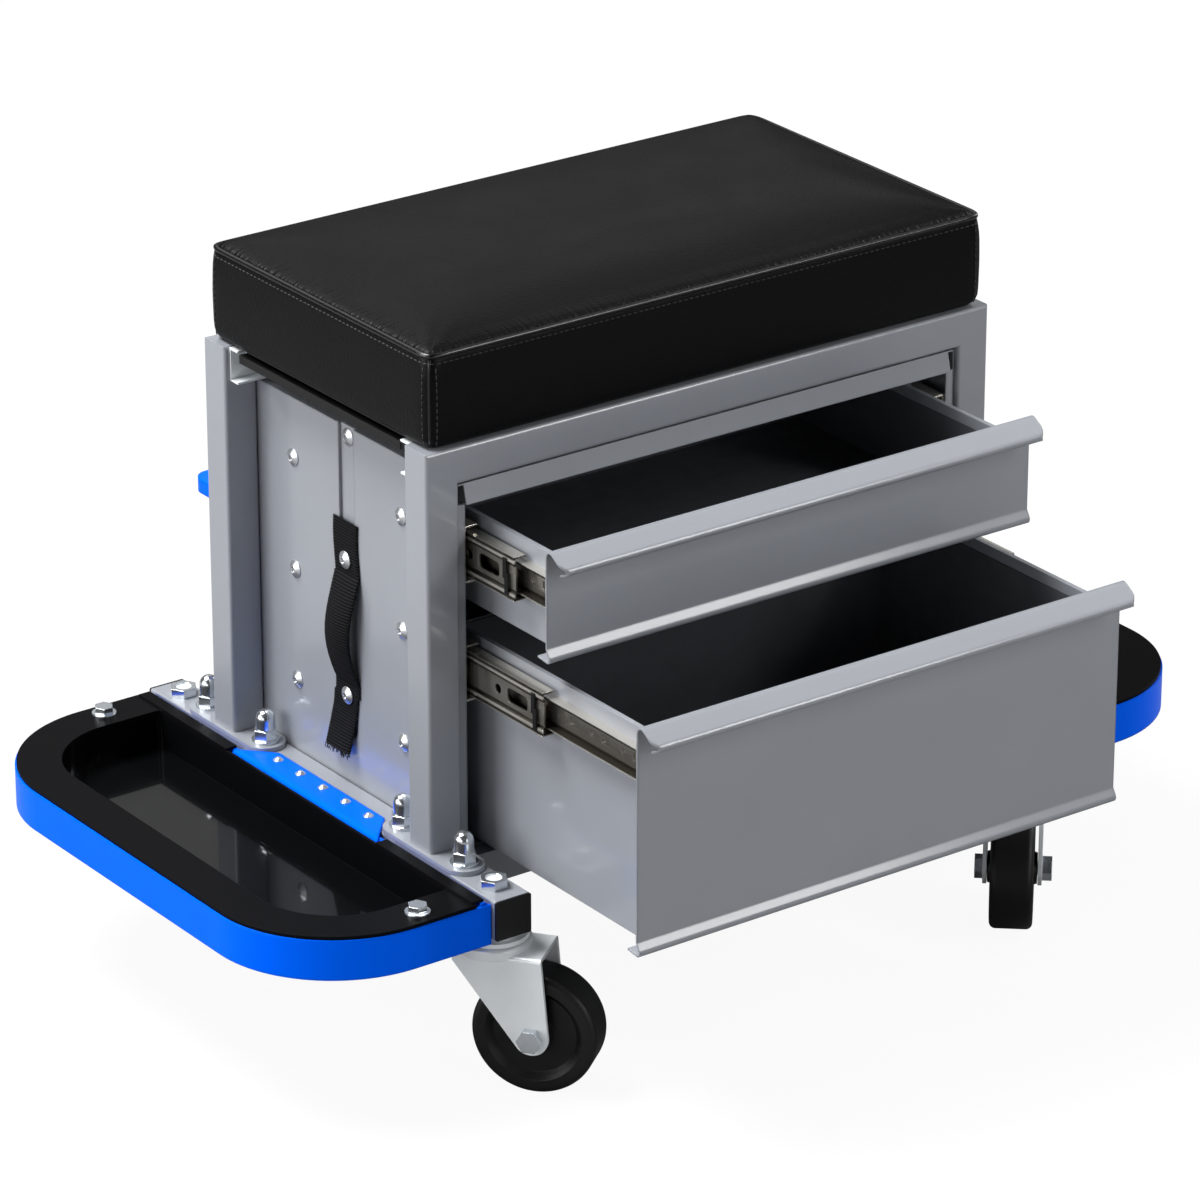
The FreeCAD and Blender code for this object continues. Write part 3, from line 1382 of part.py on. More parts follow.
# Hinge straps: flat on the cross tube and curled round the tray's rod
leaf = new_body("HingeStrap")
leafLoop = [
    (leafInner, baseTop), (hingeX, baseTop),
    (hingeX + curlIn, hingeZ, curlIn, "right"), (hingeX, hingeZ - curlIn, curlIn, "right"),
    (hingeX - curlIn, hingeZ, curlIn, "right"), (hingeX - curlOut, hingeZ),
    (hingeX, hingeZ - curlOut, curlOut, "left"), (hingeX + curlOut, hingeZ, curlOut, "left"),
    (hingeX, leafTop, curlOut, "left"), (leafInner, leafTop),
]
pad(leaf, sketch_on(leaf, "XZ", [leafLoop]), leafHalf * 2, midplane=True)
corners = []
for way in leftRight:
    corners.append([(leafInner - s.overrun, way * (leafHalf - s.leafCorner)),
                    (leafInner - s.overrun, way * (leafHalf + s.overrun)),
                    (leafInner + s.leafCorner, way * (leafHalf + s.overrun)),
                    (leafInner, way * (leafHalf - s.leafCorner))])
leafHoles = [(leafRivetOut, y, s.leafRivetShank + s.boreGap) for y in rivetRows]
pocket(leaf, sketch_on(leaf, "XY", corners, leafHoles, level=leafTop + s.overrun), curlOut * 4)
node("right_hinge_strap", group([leaf]))
node("left_hinge_strap", mirrored(leaf, yzNormal))
leafRivet = new_body("LeafRivet")
grip = s.leafThick + s.baseWall
tailShare = 0.75
leafRivetLoop = [
    (zero, s.leafRivetTall), (s.leafRivetHead / 3, s.leafRivetTall), (s.leafRivetHead, zero),
    (s.leafRivetShank, zero), (s.leafRivetShank, -grip), (s.leafRivetHead * tailShare, -grip),
    (s.leafRivetShank, -grip - s.leafRivetTall), (zero, -grip - s.leafRivetTall),
]
revolve(leafRivet, sketch_on(leafRivet, "XZ", [leafRivetLoop]))
leafRivetSpots = [spot(x * leafRivetOut, y, leafTop) for x in leftRight for y in rivetRows]
node("hinge_rivets", copies(leafRivet, leafRivetSpots))

# End trays: bent flat bar with the hinge rod and lugs, and a deep drawn pan that rests on it

def bow_loop(start, offset):
    far = bandReach - offset
    wide = bandHalf - offset
    r = s.bandRound - offset
    return [(start, -wide), (far - r, -wide), (far, -wide + r, r, "left"), (far, wide - r),
            (far - r, wide, r, "left"), (start, wide)]


def end_loops():
    outer = bow_loop(bandEnd, zero)
    inner = bow_loop(bandEnd, s.bandThick)
    back = [(bandEnd, inner[5][1]), inner[4][:2], inner[3][:2] + (inner[4][2], "right"), inner[2][:2],
            inner[1][:2] + (inner[2][2], "right"), (bandEnd, inner[0][1])]
    return outer + back


band = new_body("TrayFrame")
pad(band, sketch_on(band, "XY", [end_loops()], level=bandTop - s.bandTall), s.bandTall)
for way in leftRight:
    lug = rectangle(trayBoltOut - s.lugHalf, way * (bandHalf - s.bandThick / 2),
                    trayBoltOut + s.lugHalf, way * (trayBoltHalf - s.lugHalf))
    pad(band, sketch_on(band, "XY", [lug if way < 0 else lug[::-1]], level=bandTop - s.lugThick), s.lugThick)
hingeRod = sketch_on(band, "XZ", circles=[(hingeX, hingeZ, s.hingeRadius)])
pad(band, hingeRod, bandHalf * 2 - s.bandThick, midplane=True)
trayBoltRows = [(trayBoltOut, way * trayBoltHalf, s.trayBolt + s.boreGap) for way in leftRight]
pocket(band, sketch_on(band, "XY", circles=trayBoltRows, level=bandTop), s.lugThick)
node("right_tray_frame", group([band]))
node("left_tray_frame", mirrored(band, yzNormal))

flangeTop = bandTop + s.flangeThick
dish = new_body("TrayPan")
wallX = panInner - s.panWall


def dish_loop(offset):
    x0 = panInner - offset
    x1 = panReach + offset
    y1 = panHalf + offset
    r = s.panRound + offset
    c = s.panCorner + offset
    return [(x1 - r, -y1), (x1, -y1 + r, r, "left"), (x1, y1 - r), (x1 - r, y1, r, "left"),
            (x0 + c, y1), (x0, y1 - c, c, "left"), (x0, -y1 + c), (x0 + c, -y1, c, "left")]


pad(dish, sketch_on(dish, "XY", [dish_loop(s.panWall)], level=panFoot), flangeTop - panFoot)
pad(dish, sketch_on(dish, "XY", [bow_loop(wallX, s.bandEdge)], level=bandTop), s.flangeThick)
lipIn = hingeX - s.lipBack
for way in leftRight:
    lip = rectangle(lipIn, way * lipHalf, wallX + s.panWall, way * (bandHalf - s.bandThick))
    pad(dish, sketch_on(dish, "XY", [lip if way > 0 else lip[::-1]], level=flangeTop), s.lipThick)
pocket(dish, sketch_on(dish, "XY", [dish_loop(zero)], level=flangeTop + s.lipThick),
       flangeTop + s.lipThick - panFoot - s.panWall)
pocket(dish, sketch_on(dish, "XY", circles=trayBoltRows, level=flangeTop), s.flangeThick)
node("right_tray_pan", group([dish]))
node("left_tray_pan", mirrored(dish, yzNormal))

trayGrip = s.flangeThick + s.lugThick
trayHex = s.trayBoltFlangeTall + s.trayBoltHexTall
trayBolt = fuse([
    rod(s.trayBoltFlange, zero, zero, zero, s.trayBoltFlangeTall),
    hexagon(s.trayBoltHex, zero, zero, s.trayBoltFlangeTall, s.trayBoltHexTall),
    rod(s.trayBolt, zero, zero, -trayGrip - s.trayNutTall, trayGrip + s.trayNutTall),
])
trayNut = cut(hexagon(s.trayBoltHex, zero, zero, -trayGrip - s.trayNutTall, s.trayNutTall),
              [rod(s.trayBolt + s.threadGap, zero, zero, -trayGrip - s.trayNutTall - s.overrun,
                   s.trayNutTall + s.overrun * 2)])
traySet = group([trayBolt, trayNut])
for name, x in (("left", -1), ("right", 1)):
    where = [spot(x * trayBoltOut, way * trayBoltHalf, flangeTop) for way in leftRight]
    node(name + "_tray_bolts", copies(traySet, where))

# Tool rack behind the seat: one folded sheet with a row of holes, bolted to the rear posts
rack = new_body("ToolRack")
rackFar = deep + s.rackDeep
r = s.rackRound


def rack_loop(inset):
    x = rackHalf - inset
    return [(-x, deep), (x, deep), (x, rackFar - r), (x - r + inset, rackFar - inset, r - inset, "left"),
            (-x + r - inset, rackFar - inset), (-x, rackFar - r, r - inset, "left")]


pad(rack, sketch_on(rack, "XY", [rack_loop(zero)], level=rackTop - s.rackRim), s.rackRim)
pocket(rack, sketch_on(rack, "XY", [rack_loop(s.rackSheet)], level=rackTop - s.rackRim),
       s.rackRim - s.rackSheet, back=True)
rackPlate = rectangle(-rackFlangeHalf, rackTop - s.rackFlange, rackFlangeHalf, rackTop)
boltsThere = [(x * rackBoltX, rackBoltZ, s.rackBolt + s.boreGap) for x in leftRight]
pad(rack, sketch_on(rack, "XZ", [rackPlate], boltsThere, level=-deep), s.rackSheet, back=True)
rackRow = [(step * rackHolePitch, deep + s.rackDeep / 2, s.rackHole) for step in range(-3, 4)]
pocket(rack, sketch_on(rack, "XY", circles=rackRow, level=rackTop), s.rackSheet * 2)
node("tool_rack", rack)
rackFace = deep + s.rackSheet
rackBolt = fuse([
    hexagon(s.rackHex, zero, zero, zero, s.rackHexTall, "y"),
    rod(s.rackBolt, zero, -s.rackBoltDeep, zero, s.rackBoltDeep, "y"),
])
node("rack_bolts", copies(rackBolt, [spot(x * rackBoltX, rackFace, rackBoltZ) for x in leftRight]))

# Each piece is checked, then written under its own name
doc.recompute()
for item in doc.Objects:
    if "Invalid" in item.State or "Error" in item.State:
        raise RuntimeError("piece not built: " + item.Name + " " + item.Label)
for label, item in nodes.items():
    if item.Shape.isNull() or not item.Shape.isValid():
        raise RuntimeError("shape not valid: " + label)
os.makedirs("parts", exist_ok=True)
for label, item in nodes.items():
    item.Shape.exportStep("parts/" + label + ".step")
print("pieces written:", len(nodes))
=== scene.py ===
import math
import random

import bpy
from mathutils import Matrix, Quaternion, Vector
from mathutils.bvhtree import BVHTree


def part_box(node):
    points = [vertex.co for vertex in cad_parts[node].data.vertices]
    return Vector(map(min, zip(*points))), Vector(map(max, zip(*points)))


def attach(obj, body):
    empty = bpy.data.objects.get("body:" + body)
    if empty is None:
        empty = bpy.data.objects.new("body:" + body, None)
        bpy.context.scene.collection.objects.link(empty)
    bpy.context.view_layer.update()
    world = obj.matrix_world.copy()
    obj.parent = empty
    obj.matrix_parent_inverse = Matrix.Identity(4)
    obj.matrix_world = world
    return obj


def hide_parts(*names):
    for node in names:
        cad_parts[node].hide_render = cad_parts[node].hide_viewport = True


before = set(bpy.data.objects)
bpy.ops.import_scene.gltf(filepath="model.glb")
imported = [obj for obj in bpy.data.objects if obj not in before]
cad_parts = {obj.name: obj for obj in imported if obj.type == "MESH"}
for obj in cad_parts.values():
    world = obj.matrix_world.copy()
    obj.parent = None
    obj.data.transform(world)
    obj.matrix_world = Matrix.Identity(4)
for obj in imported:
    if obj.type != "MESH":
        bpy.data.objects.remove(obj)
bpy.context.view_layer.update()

print("stage: frame loaded")


# colours are written as sRGB hex and turned to linear here
def tone(hexCode, alpha=1.0):
    parts = [int(hexCode[i:i + 2], 16) / 255 for i in (1, 3, 5)]
    linear = [p / 12.92 if p <= 0.04045 else ((p + 0.055) / 1.055) ** 2.4 for p in parts]
    return (*linear, alpha)


# adds one node: values go on its sockets, other settings on the node, links into its sockets
def addNode(tree, kind, values=None, links=None, **settings):
    node = tree.nodes.new(kind)
    for name, value in settings.items():
        setattr(node, name, value)
    for name, value in (values or {}).items():
        node.inputs[name].default_value = value
    for name, socket in (links or {}).items():
        tree.links.new(socket, node.inputs[name])
    return node


def startMaterial(name):
    material = bpy.data.materials.new(name)
    material.use_nodes = True
    tree = material.node_tree
    tree.nodes.clear()
    return material, tree


def perMetre(millimetres):
    return 1000 / millimetres  # texture scale for a pattern of that real size


mixFirst, mixSecond, mixResult = 6, 7, 2  # the colour sockets of a mix node
# radius of the small broken edges of sheet, tube and mouldings, drawn in the shading
edge = {"tube": 0.0007, "pressed": 0.0024, "blue": 0.0022, "pan": 0.0008, "small": 0.0006, "samples": 4}

silverCoat = {
    "light": "#989CA3", "dark": "#90939A", "metal": 0.12, "smoothest": 0.35, "roughest": 0.48,
    "gloss": 0.8, "glossRoughness": 0.12, "cloud": 60, "flake": 0.45, "peel": 2.4,
    "peelStrength": 0.05, "peelDepth": 0.0002,
}


# silver powder coat, sprayed and baked: metal flake under resin, a soft shine over fine orange peel
def silverPowderCoat(name, radius):
    material, tree = startMaterial(name)
    place = addNode(tree, "ShaderNodeTexCoord").outputs["Object"]
    broken = addNode(tree, "ShaderNodeBevel", {"Radius": radius}, samples=edge["samples"])
    cloud = addNode(tree, "ShaderNodeTexNoise", {"Scale": perMetre(silverCoat["cloud"]), "Detail": 3.0},
                    {"Vector": place})
    flake = addNode(tree, "ShaderNodeTexNoise", {"Scale": perMetre(silverCoat["flake"]), "Detail": 1.0},
                    {"Vector": place})
    peel = addNode(tree, "ShaderNodeTexNoise", {"Scale": perMetre(silverCoat["peel"]), "Detail": 2.0},
                   {"Vector": place})
    colour = addNode(tree, "ShaderNodeMix",
                     {mixFirst: tone(silverCoat["light"]), mixSecond: tone(silverCoat["dark"])},
                     {0: cloud.outputs["Fac"]}, data_type="RGBA")
    rough = addNode(tree, "ShaderNodeMapRange",
                    {"To Min": silverCoat["smoothest"], "To Max": silverCoat["roughest"]},
                    {"Value": flake.outputs["Fac"]})
    bump = addNode(tree, "ShaderNodeBump",
                   {"Strength": silverCoat["peelStrength"], "Distance": silverCoat["peelDepth"]},
                   {"Height": peel.outputs["Fac"], "Normal": broken.outputs["Normal"]})
    skin = addNode(tree, "ShaderNodeBsdfPrincipled",
                   {"Metallic": silverCoat["metal"], "IOR": 1.5, "Coat Weight": silverCoat["gloss"],
                    "Coat Roughness": silverCoat["glossRoughness"]},
                   {"Base Color": colour.outputs[mixResult], "Roughness": rough.outputs["Result"],
                    "Normal": bump.outputs["Normal"]})
    addNode(tree, "ShaderNodeOutputMaterial", links={"Surface": skin.outputs["BSDF"]})
    return material


blueCoat = {
    "light": "#0066FF", "dark": "#005FFA", "tint": "#0066FF", "roughness": 0.3, "shine": 0.05,
    "cloud": 35, "peel": 2.4, "peelStrength": 0.06, "peelDepth": 0.0003,
}


# blue powder coat, sprayed and baked: deep pigment under a thin clear skin, long soft highlights
def bluePowderCoat():
    material, tree = startMaterial("powder coated steel, baked gloss blue")
    place = addNode(tree, "ShaderNodeTexCoord").outputs["Object"]
    broken = addNode(tree, "ShaderNodeBevel", {"Radius": edge["blue"]}, samples=edge["samples"])
    peel = addNode(tree, "ShaderNodeTexNoise", {"Scale": perMetre(blueCoat["peel"]), "Detail": 2.0},
                   {"Vector": place})
    cloud = addNode(tree, "ShaderNodeTexNoise", {"Scale": perMetre(blueCoat["cloud"]), "Detail": 2.0},
                    {"Vector": place})
    colour = addNode(tree, "ShaderNodeMix",
                     {mixFirst: tone(blueCoat["light"]), mixSecond: tone(blueCoat["dark"])},
                     {0: cloud.outputs["Fac"]}, data_type="RGBA")
    bump = addNode(tree, "ShaderNodeBump",
                   {"Strength": blueCoat["peelStrength"], "Distance": blueCoat["peelDepth"]},
                   {"Height": peel.outputs["Fac"], "Normal": broken.outputs["Normal"]})
    skin = addNode(tree, "ShaderNodeBsdfPrincipled",
                   {"IOR": 1.5, "Specular IOR Level": blueCoat["shine"], "Roughness": blueCoat["roughness"],
                    "Specular Tint": tone(blueCoat["tint"])},
                   {"Base Color": colour.outputs[mixResult], "Normal": bump.outputs["Normal"]})
    addNode(tree, "ShaderNodeOutputMaterial", links={"Surface": skin.outputs["BSDF"]})
    return material


enamel = {
    "bowl": "#08090A", "rim": "#0A0A0C", "rimHeight": 0.1214, "rimFade": 0.0008, "shine": 0.05,
    "bowlRoughness": 0.2, "rimRoughness": 0.4, "bowlGloss": 0.55, "glossRoughness": 0.05,
    "speck": 0.7, "speckDepth": 0.0002, "rimSpeck": 0.35,
}


# black enamel on a pressed pan: mirror-like in the bowl, rubbed satin on the flange
def blackEnamel():
    material, tree = startMaterial("enamelled steel, pressed and baked black")
    place = addNode(tree, "ShaderNodeTexCoord").outputs["Object"]
    broken = addNode(tree, "ShaderNodeBevel", {"Radius": edge["pan"]}, samples=edge["samples"])
    height = addNode(tree, "ShaderNodeSeparateXYZ", links={"Vector": place}).outputs["Z"]
    onRim = addNode(tree, "ShaderNodeMapRange",
                    {"From Min": enamel["rimHeight"] - enamel["rimFade"], "From Max": enamel["rimHeight"]},
                    {"Value": height}).outputs["Result"]
    speck = addNode(tree, "ShaderNodeTexNoise", {"Scale": perMetre(enamel["speck"]), "Detail": 2.0},
                    {"Vector": place})
    rough = addNode(tree, "ShaderNodeMapRange",
                    {"To Min": enamel["bowlRoughness"], "To Max": enamel["rimRoughness"]}, {"Value": onRim})
    grain = addNode(tree, "ShaderNodeMath", {1: enamel["rimSpeck"]}, {0: onRim}, operation="MULTIPLY")
    gloss = addNode(tree, "ShaderNodeMapRange", {"To Min": enamel["bowlGloss"], "To Max": 0.0},
                    {"Value": onRim})
    colour = addNode(tree, "ShaderNodeMix", {mixFirst: tone(enamel["bowl"]), mixSecond: tone(enamel["rim"])},
                     {0: onRim}, data_type="RGBA")
    bump = addNode(tree, "ShaderNodeBump", {"Distance": enamel["speckDepth"]},
                   {"Height": speck.outputs["Fac"], "Strength": grain.outputs["Value"],
                    "Normal": broken.outputs["Normal"]})
    skin = addNode(tree, "ShaderNodeBsdfPrincipled",
                   {"IOR": 1.5, "Specular IOR Level": enamel["shine"],
                    "Coat Roughness": enamel["glossRoughness"]},
                   {"Base Color": colour.outputs[mixResult], "Roughness": rough.outputs["Result"],
                    "Coat Weight": gloss.outputs["Result"], "Normal": bump.outputs["Normal"]})
    addNode(tree, "ShaderNodeOutputMaterial", links={"Surface": skin.outputs["BSDF"]})
    return material


# ball races rolled along a slide: rise of the profile at shares of the half height from the middle line; the
# same rise also paints the colour, painted highlight on the raised races and painted shade in the grooves
races = {
    "rises": ((0.5, 0.35), (0.6, 0.0), (0.7, 1.0), (0.8, 1.0), (0.9, 0.0)),
    "middleRise": 0.4, "edgeRise": 0.8, "depth": 0.002,
}


def raceRiseAndPaintedLight(tree, place):
    height = addNode(tree, "ShaderNodeSeparateXYZ", links={"Vector": place}).outputs["Z"]
    gaps = []
    for drawer in ("top", "bottom"):
        low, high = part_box(drawer + "_slide_middles")
        off = addNode(tree, "ShaderNodeMath", {1: (low[2] + high[2]) / 2}, {0: height}, operation="SUBTRACT")
        gaps.append(addNode(tree, "ShaderNodeMath", links={0: off.outputs["Value"]}, operation="ABSOLUTE"))
    nearest = addNode(tree, "ShaderNodeMath", operation="MINIMUM",
                      links={0: gaps[0].outputs["Value"], 1: gaps[1].outputs["Value"]})
    share = addNode(tree, "ShaderNodeMapRange", {"From Max": (high[2] - low[2]) / 2},
                    {"Value": nearest.outputs["Value"]})
    profile = addNode(tree, "ShaderNodeValToRGB", links={"Fac": share.outputs["Result"]})
    profile.color_ramp.interpolation = "EASE"
    stops = profile.color_ramp.elements  # the two it starts with stand at the middle line and the edge
    for stop, position, rise in ((stops[0], 0.0, races["middleRise"]), (stops[1], 1.0, races["edgeRise"])):
        stop.position = position
        stop.color = (rise, rise, rise, 1)
    for position, rise in races["rises"]:
        stops.new(position).color = (rise, rise, rise, 1)
    return profile.outputs["Color"]


metals = {
    "zinc": {"light": "#F8FBFD", "dark": "#EDF3F6", "roughness": 0.34, "cloud": 14, "metal": 0.25},
    # slide: the light tone is painted highlight for the raised races, the dark tone painted shade for the
    # grooves
    "slide": {"light": "#E8E4DA", "dark": "#4E4A42", "roughness": 0.18, "cloud": 9, "metal": 0.82},
    "rivet": {"light": "#D6D8DB", "dark": "#C6C9CD", "roughness": 0.3, "cloud": 6, "metal": 0.85},
    "bolt": {"light": "#DDE2E6", "dark": "#CCD2D8", "roughness": 0.17, "cloud": 7, "metal": 0.92},
}
metalWork = {"less": 0.05, "more": 0.07, "lines": 1.2, "lineStrength": 0.08, "lineDepth": 0.0002}


# bright metal, plated, rolled or pressed: clouding of the plate and fine draw lines under a clear reflection;
# on the slides the colour is painted light instead, painted highlight on the raised races and painted shade
# in the grooves
def brightMetal(name, key, stretch=(1, 1, 1), rolled=False):
    metal = metals[key]
    material, tree = startMaterial(name)
    place = addNode(tree, "ShaderNodeTexCoord").outputs["Object"]
    drawn = addNode(tree, "ShaderNodeMapping", {"Scale": stretch}, {"Vector": place}).outputs["Vector"]
    cloud = addNode(tree, "ShaderNodeTexNoise", {"Scale": perMetre(metal["cloud"]), "Detail": 4.0},
                    {"Vector": drawn})
    lines = addNode(tree, "ShaderNodeTexNoise", {"Scale": perMetre(metalWork["lines"]), "Detail": 3.0},
                    {"Vector": drawn})
    rough = addNode(tree, "ShaderNodeMapRange",
                    {"To Min": metal["roughness"] - metalWork["less"],
                     "To Max": metal["roughness"] + metalWork["more"]},
                    {"Value": cloud.outputs["Fac"]})
    broken = addNode(tree, "ShaderNodeBevel", {"Radius": edge["small"]}, samples=edge["samples"])
    normal = broken.outputs["Normal"]
    light, dark, factor = metal["light"], metal["dark"], cloud.outputs["Fac"]
    if rolled:
        # painted highlight and shade: the race rise sets the colour, light on the raised lines, dark in the
        # grooves
        factor = raceRiseAndPaintedLight(tree, place)
        light, dark = dark, light  # the raised lines are the light ones
        normal = addNode(tree, "ShaderNodeBump", {"Strength": 1.0, "Distance": races["depth"]},
                         {"Height": factor, "Normal": normal}).outputs["Normal"]
    colour = addNode(tree, "ShaderNodeMix", {mixFirst: tone(light), mixSecond: tone(dark)}, {0: factor},
                     data_type="RGBA")
    bump = addNode(tree, "ShaderNodeBump",
                   {"Strength": metalWork["lineStrength"], "Distance": metalWork["lineDepth"]},
                   {"Height": lines.outputs["Fac"], "Normal": normal})
    skin = addNode(tree, "ShaderNodeBsdfPrincipled", {"Metallic": metal["metal"]},
                   {"Base Color": colour.outputs[mixResult], "Roughness": rough.outputs["Result"],
                    "Normal": bump.outputs["Normal"]})
    addNode(tree, "ShaderNodeOutputMaterial", links={"Surface": skin.outputs["BSDF"]})
    return material


plastics = {
    "cap": {"light": "#070708", "dark": "#0B0B0C", "roughness": 0.36, "grain": 0.5},
    "wheel": {"light": "#0C0C0D", "dark": "#111112", "roughness": 0.4, "grain": 0.9},
    "mat": {"light": "#5A5C61", "dark": "#4E5054", "roughness": 0.45, "grain": 0.6},
}
plasticWork = {
    "less": 0.06, "more": 0.14, "rub": 14, "shine": 0.3, "grainStrength": 0.12, "grainDepth": 0.0002,
}


# moulded or calendered plastic: even colour, slight mould texture and rubbed patches
def mouldedPlastic(name, key):
    plastic = plastics[key]
    material, tree = startMaterial(name)
    place = addNode(tree, "ShaderNodeTexCoord").outputs["Object"]
    broken = addNode(tree, "ShaderNodeBevel", {"Radius": edge["small"]}, samples=edge["samples"])
    rub = addNode(tree, "ShaderNodeTexNoise", {"Scale": perMetre(plasticWork["rub"]), "Detail": 4.0},
                  {"Vector": place})
    fine = addNode(tree, "ShaderNodeTexNoise", {"Scale": perMetre(plastic["grain"]), "Detail": 2.0},
                   {"Vector": place})
    rough = addNode(tree, "ShaderNodeMapRange",
                    {"To Min": plastic["roughness"] - plasticWork["less"],
                     "To Max": plastic["roughness"] + plasticWork["more"]}, {"Value": rub.outputs["Fac"]})
    colour = addNode(tree, "ShaderNodeMix",
                     {mixFirst: tone(plastic["light"]), mixSecond: tone(plastic["dark"])},
                     {0: rub.outputs["Fac"]}, data_type="RGBA")
    bump = addNode(tree, "ShaderNodeBump",
                   {"Strength": plasticWork["grainStrength"], "Distance": plasticWork["grainDepth"]},
                   {"Height": fine.outputs["Fac"], "Normal": broken.outputs["Normal"]})
    skin = addNode(tree, "ShaderNodeBsdfPrincipled", {"IOR": 1.5, "Specular IOR Level": plasticWork["shine"]},
                   {"Base Color": colour.outputs[mixResult], "Roughness": rough.outputs["Result"],
                    "Normal": bump.outputs["Normal"]})
    addNode(tree, "ShaderNodeOutputMaterial", links={"Surface": skin.outputs["BSDF"]})
    return material


leatherLook = {
    "skin": "#0B0B0D", "pitShade": "#050506", "roughness": 0.36, "shine": 0.11, "less": 0.06, "more": 0.1,
    "pebble": 1.2, "pebbleStrength": 0.4, "pebbleDepth": 0.0003, "fine": 0.5, "fineStrength": 0.25,
    "fineDepth": 0.0002, "gather": 3.4, "gatherStrength": 0.8, "gatherDepth": 0.0015, "rub": 45,
    "pipingRoughness": 0.24, "pipingShine": 0.5, "pipingGrain": 0.3,
}


# leatherette, embossed vinyl on cloth: a soft sheen broken by pebble grain and small gathers at the seam; the
# low pits of the grain are painted a little darker, a painted shade
def leatherette(name, roughness, shine, grain):
    material, tree = startMaterial(name)
    place = addNode(tree, "ShaderNodeTexCoord").outputs["Object"]
    pebble = addNode(tree, "ShaderNodeTexVoronoi", {"Scale": perMetre(leatherLook["pebble"])},
                     {"Vector": place}, feature="SMOOTH_F1")
    fine = addNode(tree, "ShaderNodeTexNoise", {"Scale": perMetre(leatherLook["fine"]), "Detail": 3.0},
                   {"Vector": place})
    rub = addNode(tree, "ShaderNodeTexNoise", {"Scale": perMetre(leatherLook["rub"]), "Detail": 3.0},
                  {"Vector": place})
    along = addNode(tree, "ShaderNodeAttribute", attribute_name="alongSeam")
    near = addNode(tree, "ShaderNodeAttribute", attribute_name="nearSeam")
    ripple = addNode(tree, "ShaderNodeTexNoise", {"Scale": perMetre(leatherLook["gather"]), "Detail": 2.0},
                     {"W": along.outputs["Fac"]}, noise_dimensions="1D")
    gathers = addNode(tree, "ShaderNodeMath", links={0: ripple.outputs["Fac"], 1: near.outputs["Fac"]},
                      operation="MULTIPLY")
    emboss = addNode(tree, "ShaderNodeBump",
                     {"Strength": leatherLook["pebbleStrength"] * grain,
                      "Distance": leatherLook["pebbleDepth"]},
                     {"Height": pebble.outputs["Distance"]})
    pores = addNode(tree, "ShaderNodeBump",
                    {"Strength": leatherLook["fineStrength"] * grain, "Distance": leatherLook["fineDepth"]},
                    {"Height": fine.outputs["Fac"], "Normal": emboss.outputs["Normal"]})
    pulled = addNode(tree, "ShaderNodeBump",
                     {"Strength": leatherLook["gatherStrength"], "Distance": leatherLook["gatherDepth"]},
                     {"Height": gathers.outputs["Value"], "Normal": pores.outputs["Normal"]})
    rough = addNode(tree, "ShaderNodeMapRange",
                    {"To Min": roughness - leatherLook["less"], "To Max": roughness + leatherLook["more"]},
                    {"Value": rub.outputs["Fac"]})
    # painted shade: the low middles of the pebble cells take the darker tone
    colour = addNode(tree, "ShaderNodeMix",
                     {mixFirst: tone(leatherLook["pitShade"]), mixSecond: tone(leatherLook["skin"])},
                     {0: pebble.outputs["Distance"]}, data_type="RGBA")
    skin = addNode(tree, "ShaderNodeBsdfPrincipled", {"IOR": 1.5, "Specular IOR Level": shine},
                   {"Base Color": colour.outputs[mixResult], "Roughness": rough.outputs["Result"],
                    "Normal": pulled.outputs["Normal"]})
    addNode(tree, "ShaderNodeOutputMaterial", links={"Surface": skin.outputs["BSDF"]})
    return material


threadLook = {
    "deep": "#1A1A1C", "bright": "#2E2E31", "twist": 2.4, "waver": 0.4, "strength": 0.4, "depth": 0.0002,
    "roughness": 0.55,
}


# polyester thread, twisted: a little lighter than the leatherette, the twist drawn coarse so that it shows,
# as painted highlight on its crests and painted shade in its grooves
def seamThread():
    material, tree = startMaterial("polyester thread, twisted charcoal")
    place = addNode(tree, "ShaderNodeTexCoord").outputs["Object"]
    twist = addNode(tree, "ShaderNodeTexWave",
                    {"Scale": perMetre(threadLook["twist"]), "Distortion": threadLook["waver"]},
                    {"Vector": place}, bands_direction="DIAGONAL")
    # painted highlight and shade: the deep tone lies in the grooves of the twist, the bright one on its
    # crests
    colour = addNode(tree, "ShaderNodeMix",
                     {mixFirst: tone(threadLook["deep"]), mixSecond: tone(threadLook["bright"])},
                     {0: twist.outputs["Fac"]}, data_type="RGBA")
    bump = addNode(tree, "ShaderNodeBump",
                   {"Strength": threadLook["strength"], "Distance": threadLook["depth"]},
                   {"Height": twist.outputs["Fac"]})
    skin = addNode(tree, "ShaderNodeBsdfPrincipled", {"Roughness": threadLook["roughness"], "IOR": 1.5},
                   {"Base Color": colour.outputs[mixResult], "Normal": bump.outputs["Normal"]})
    addNode(tree, "ShaderNodeOutputMaterial", links={"Surface": skin.outputs["BSDF"]})
    return material


webbingLook = {
    "yarn": "#17171A", "gap": "#000000", "rib": 1.9, "yarnWide": 1.1, "strength": 0.7, "depth": 0.0005,
    "roughness": 0.7, "shine": 0.12,
}
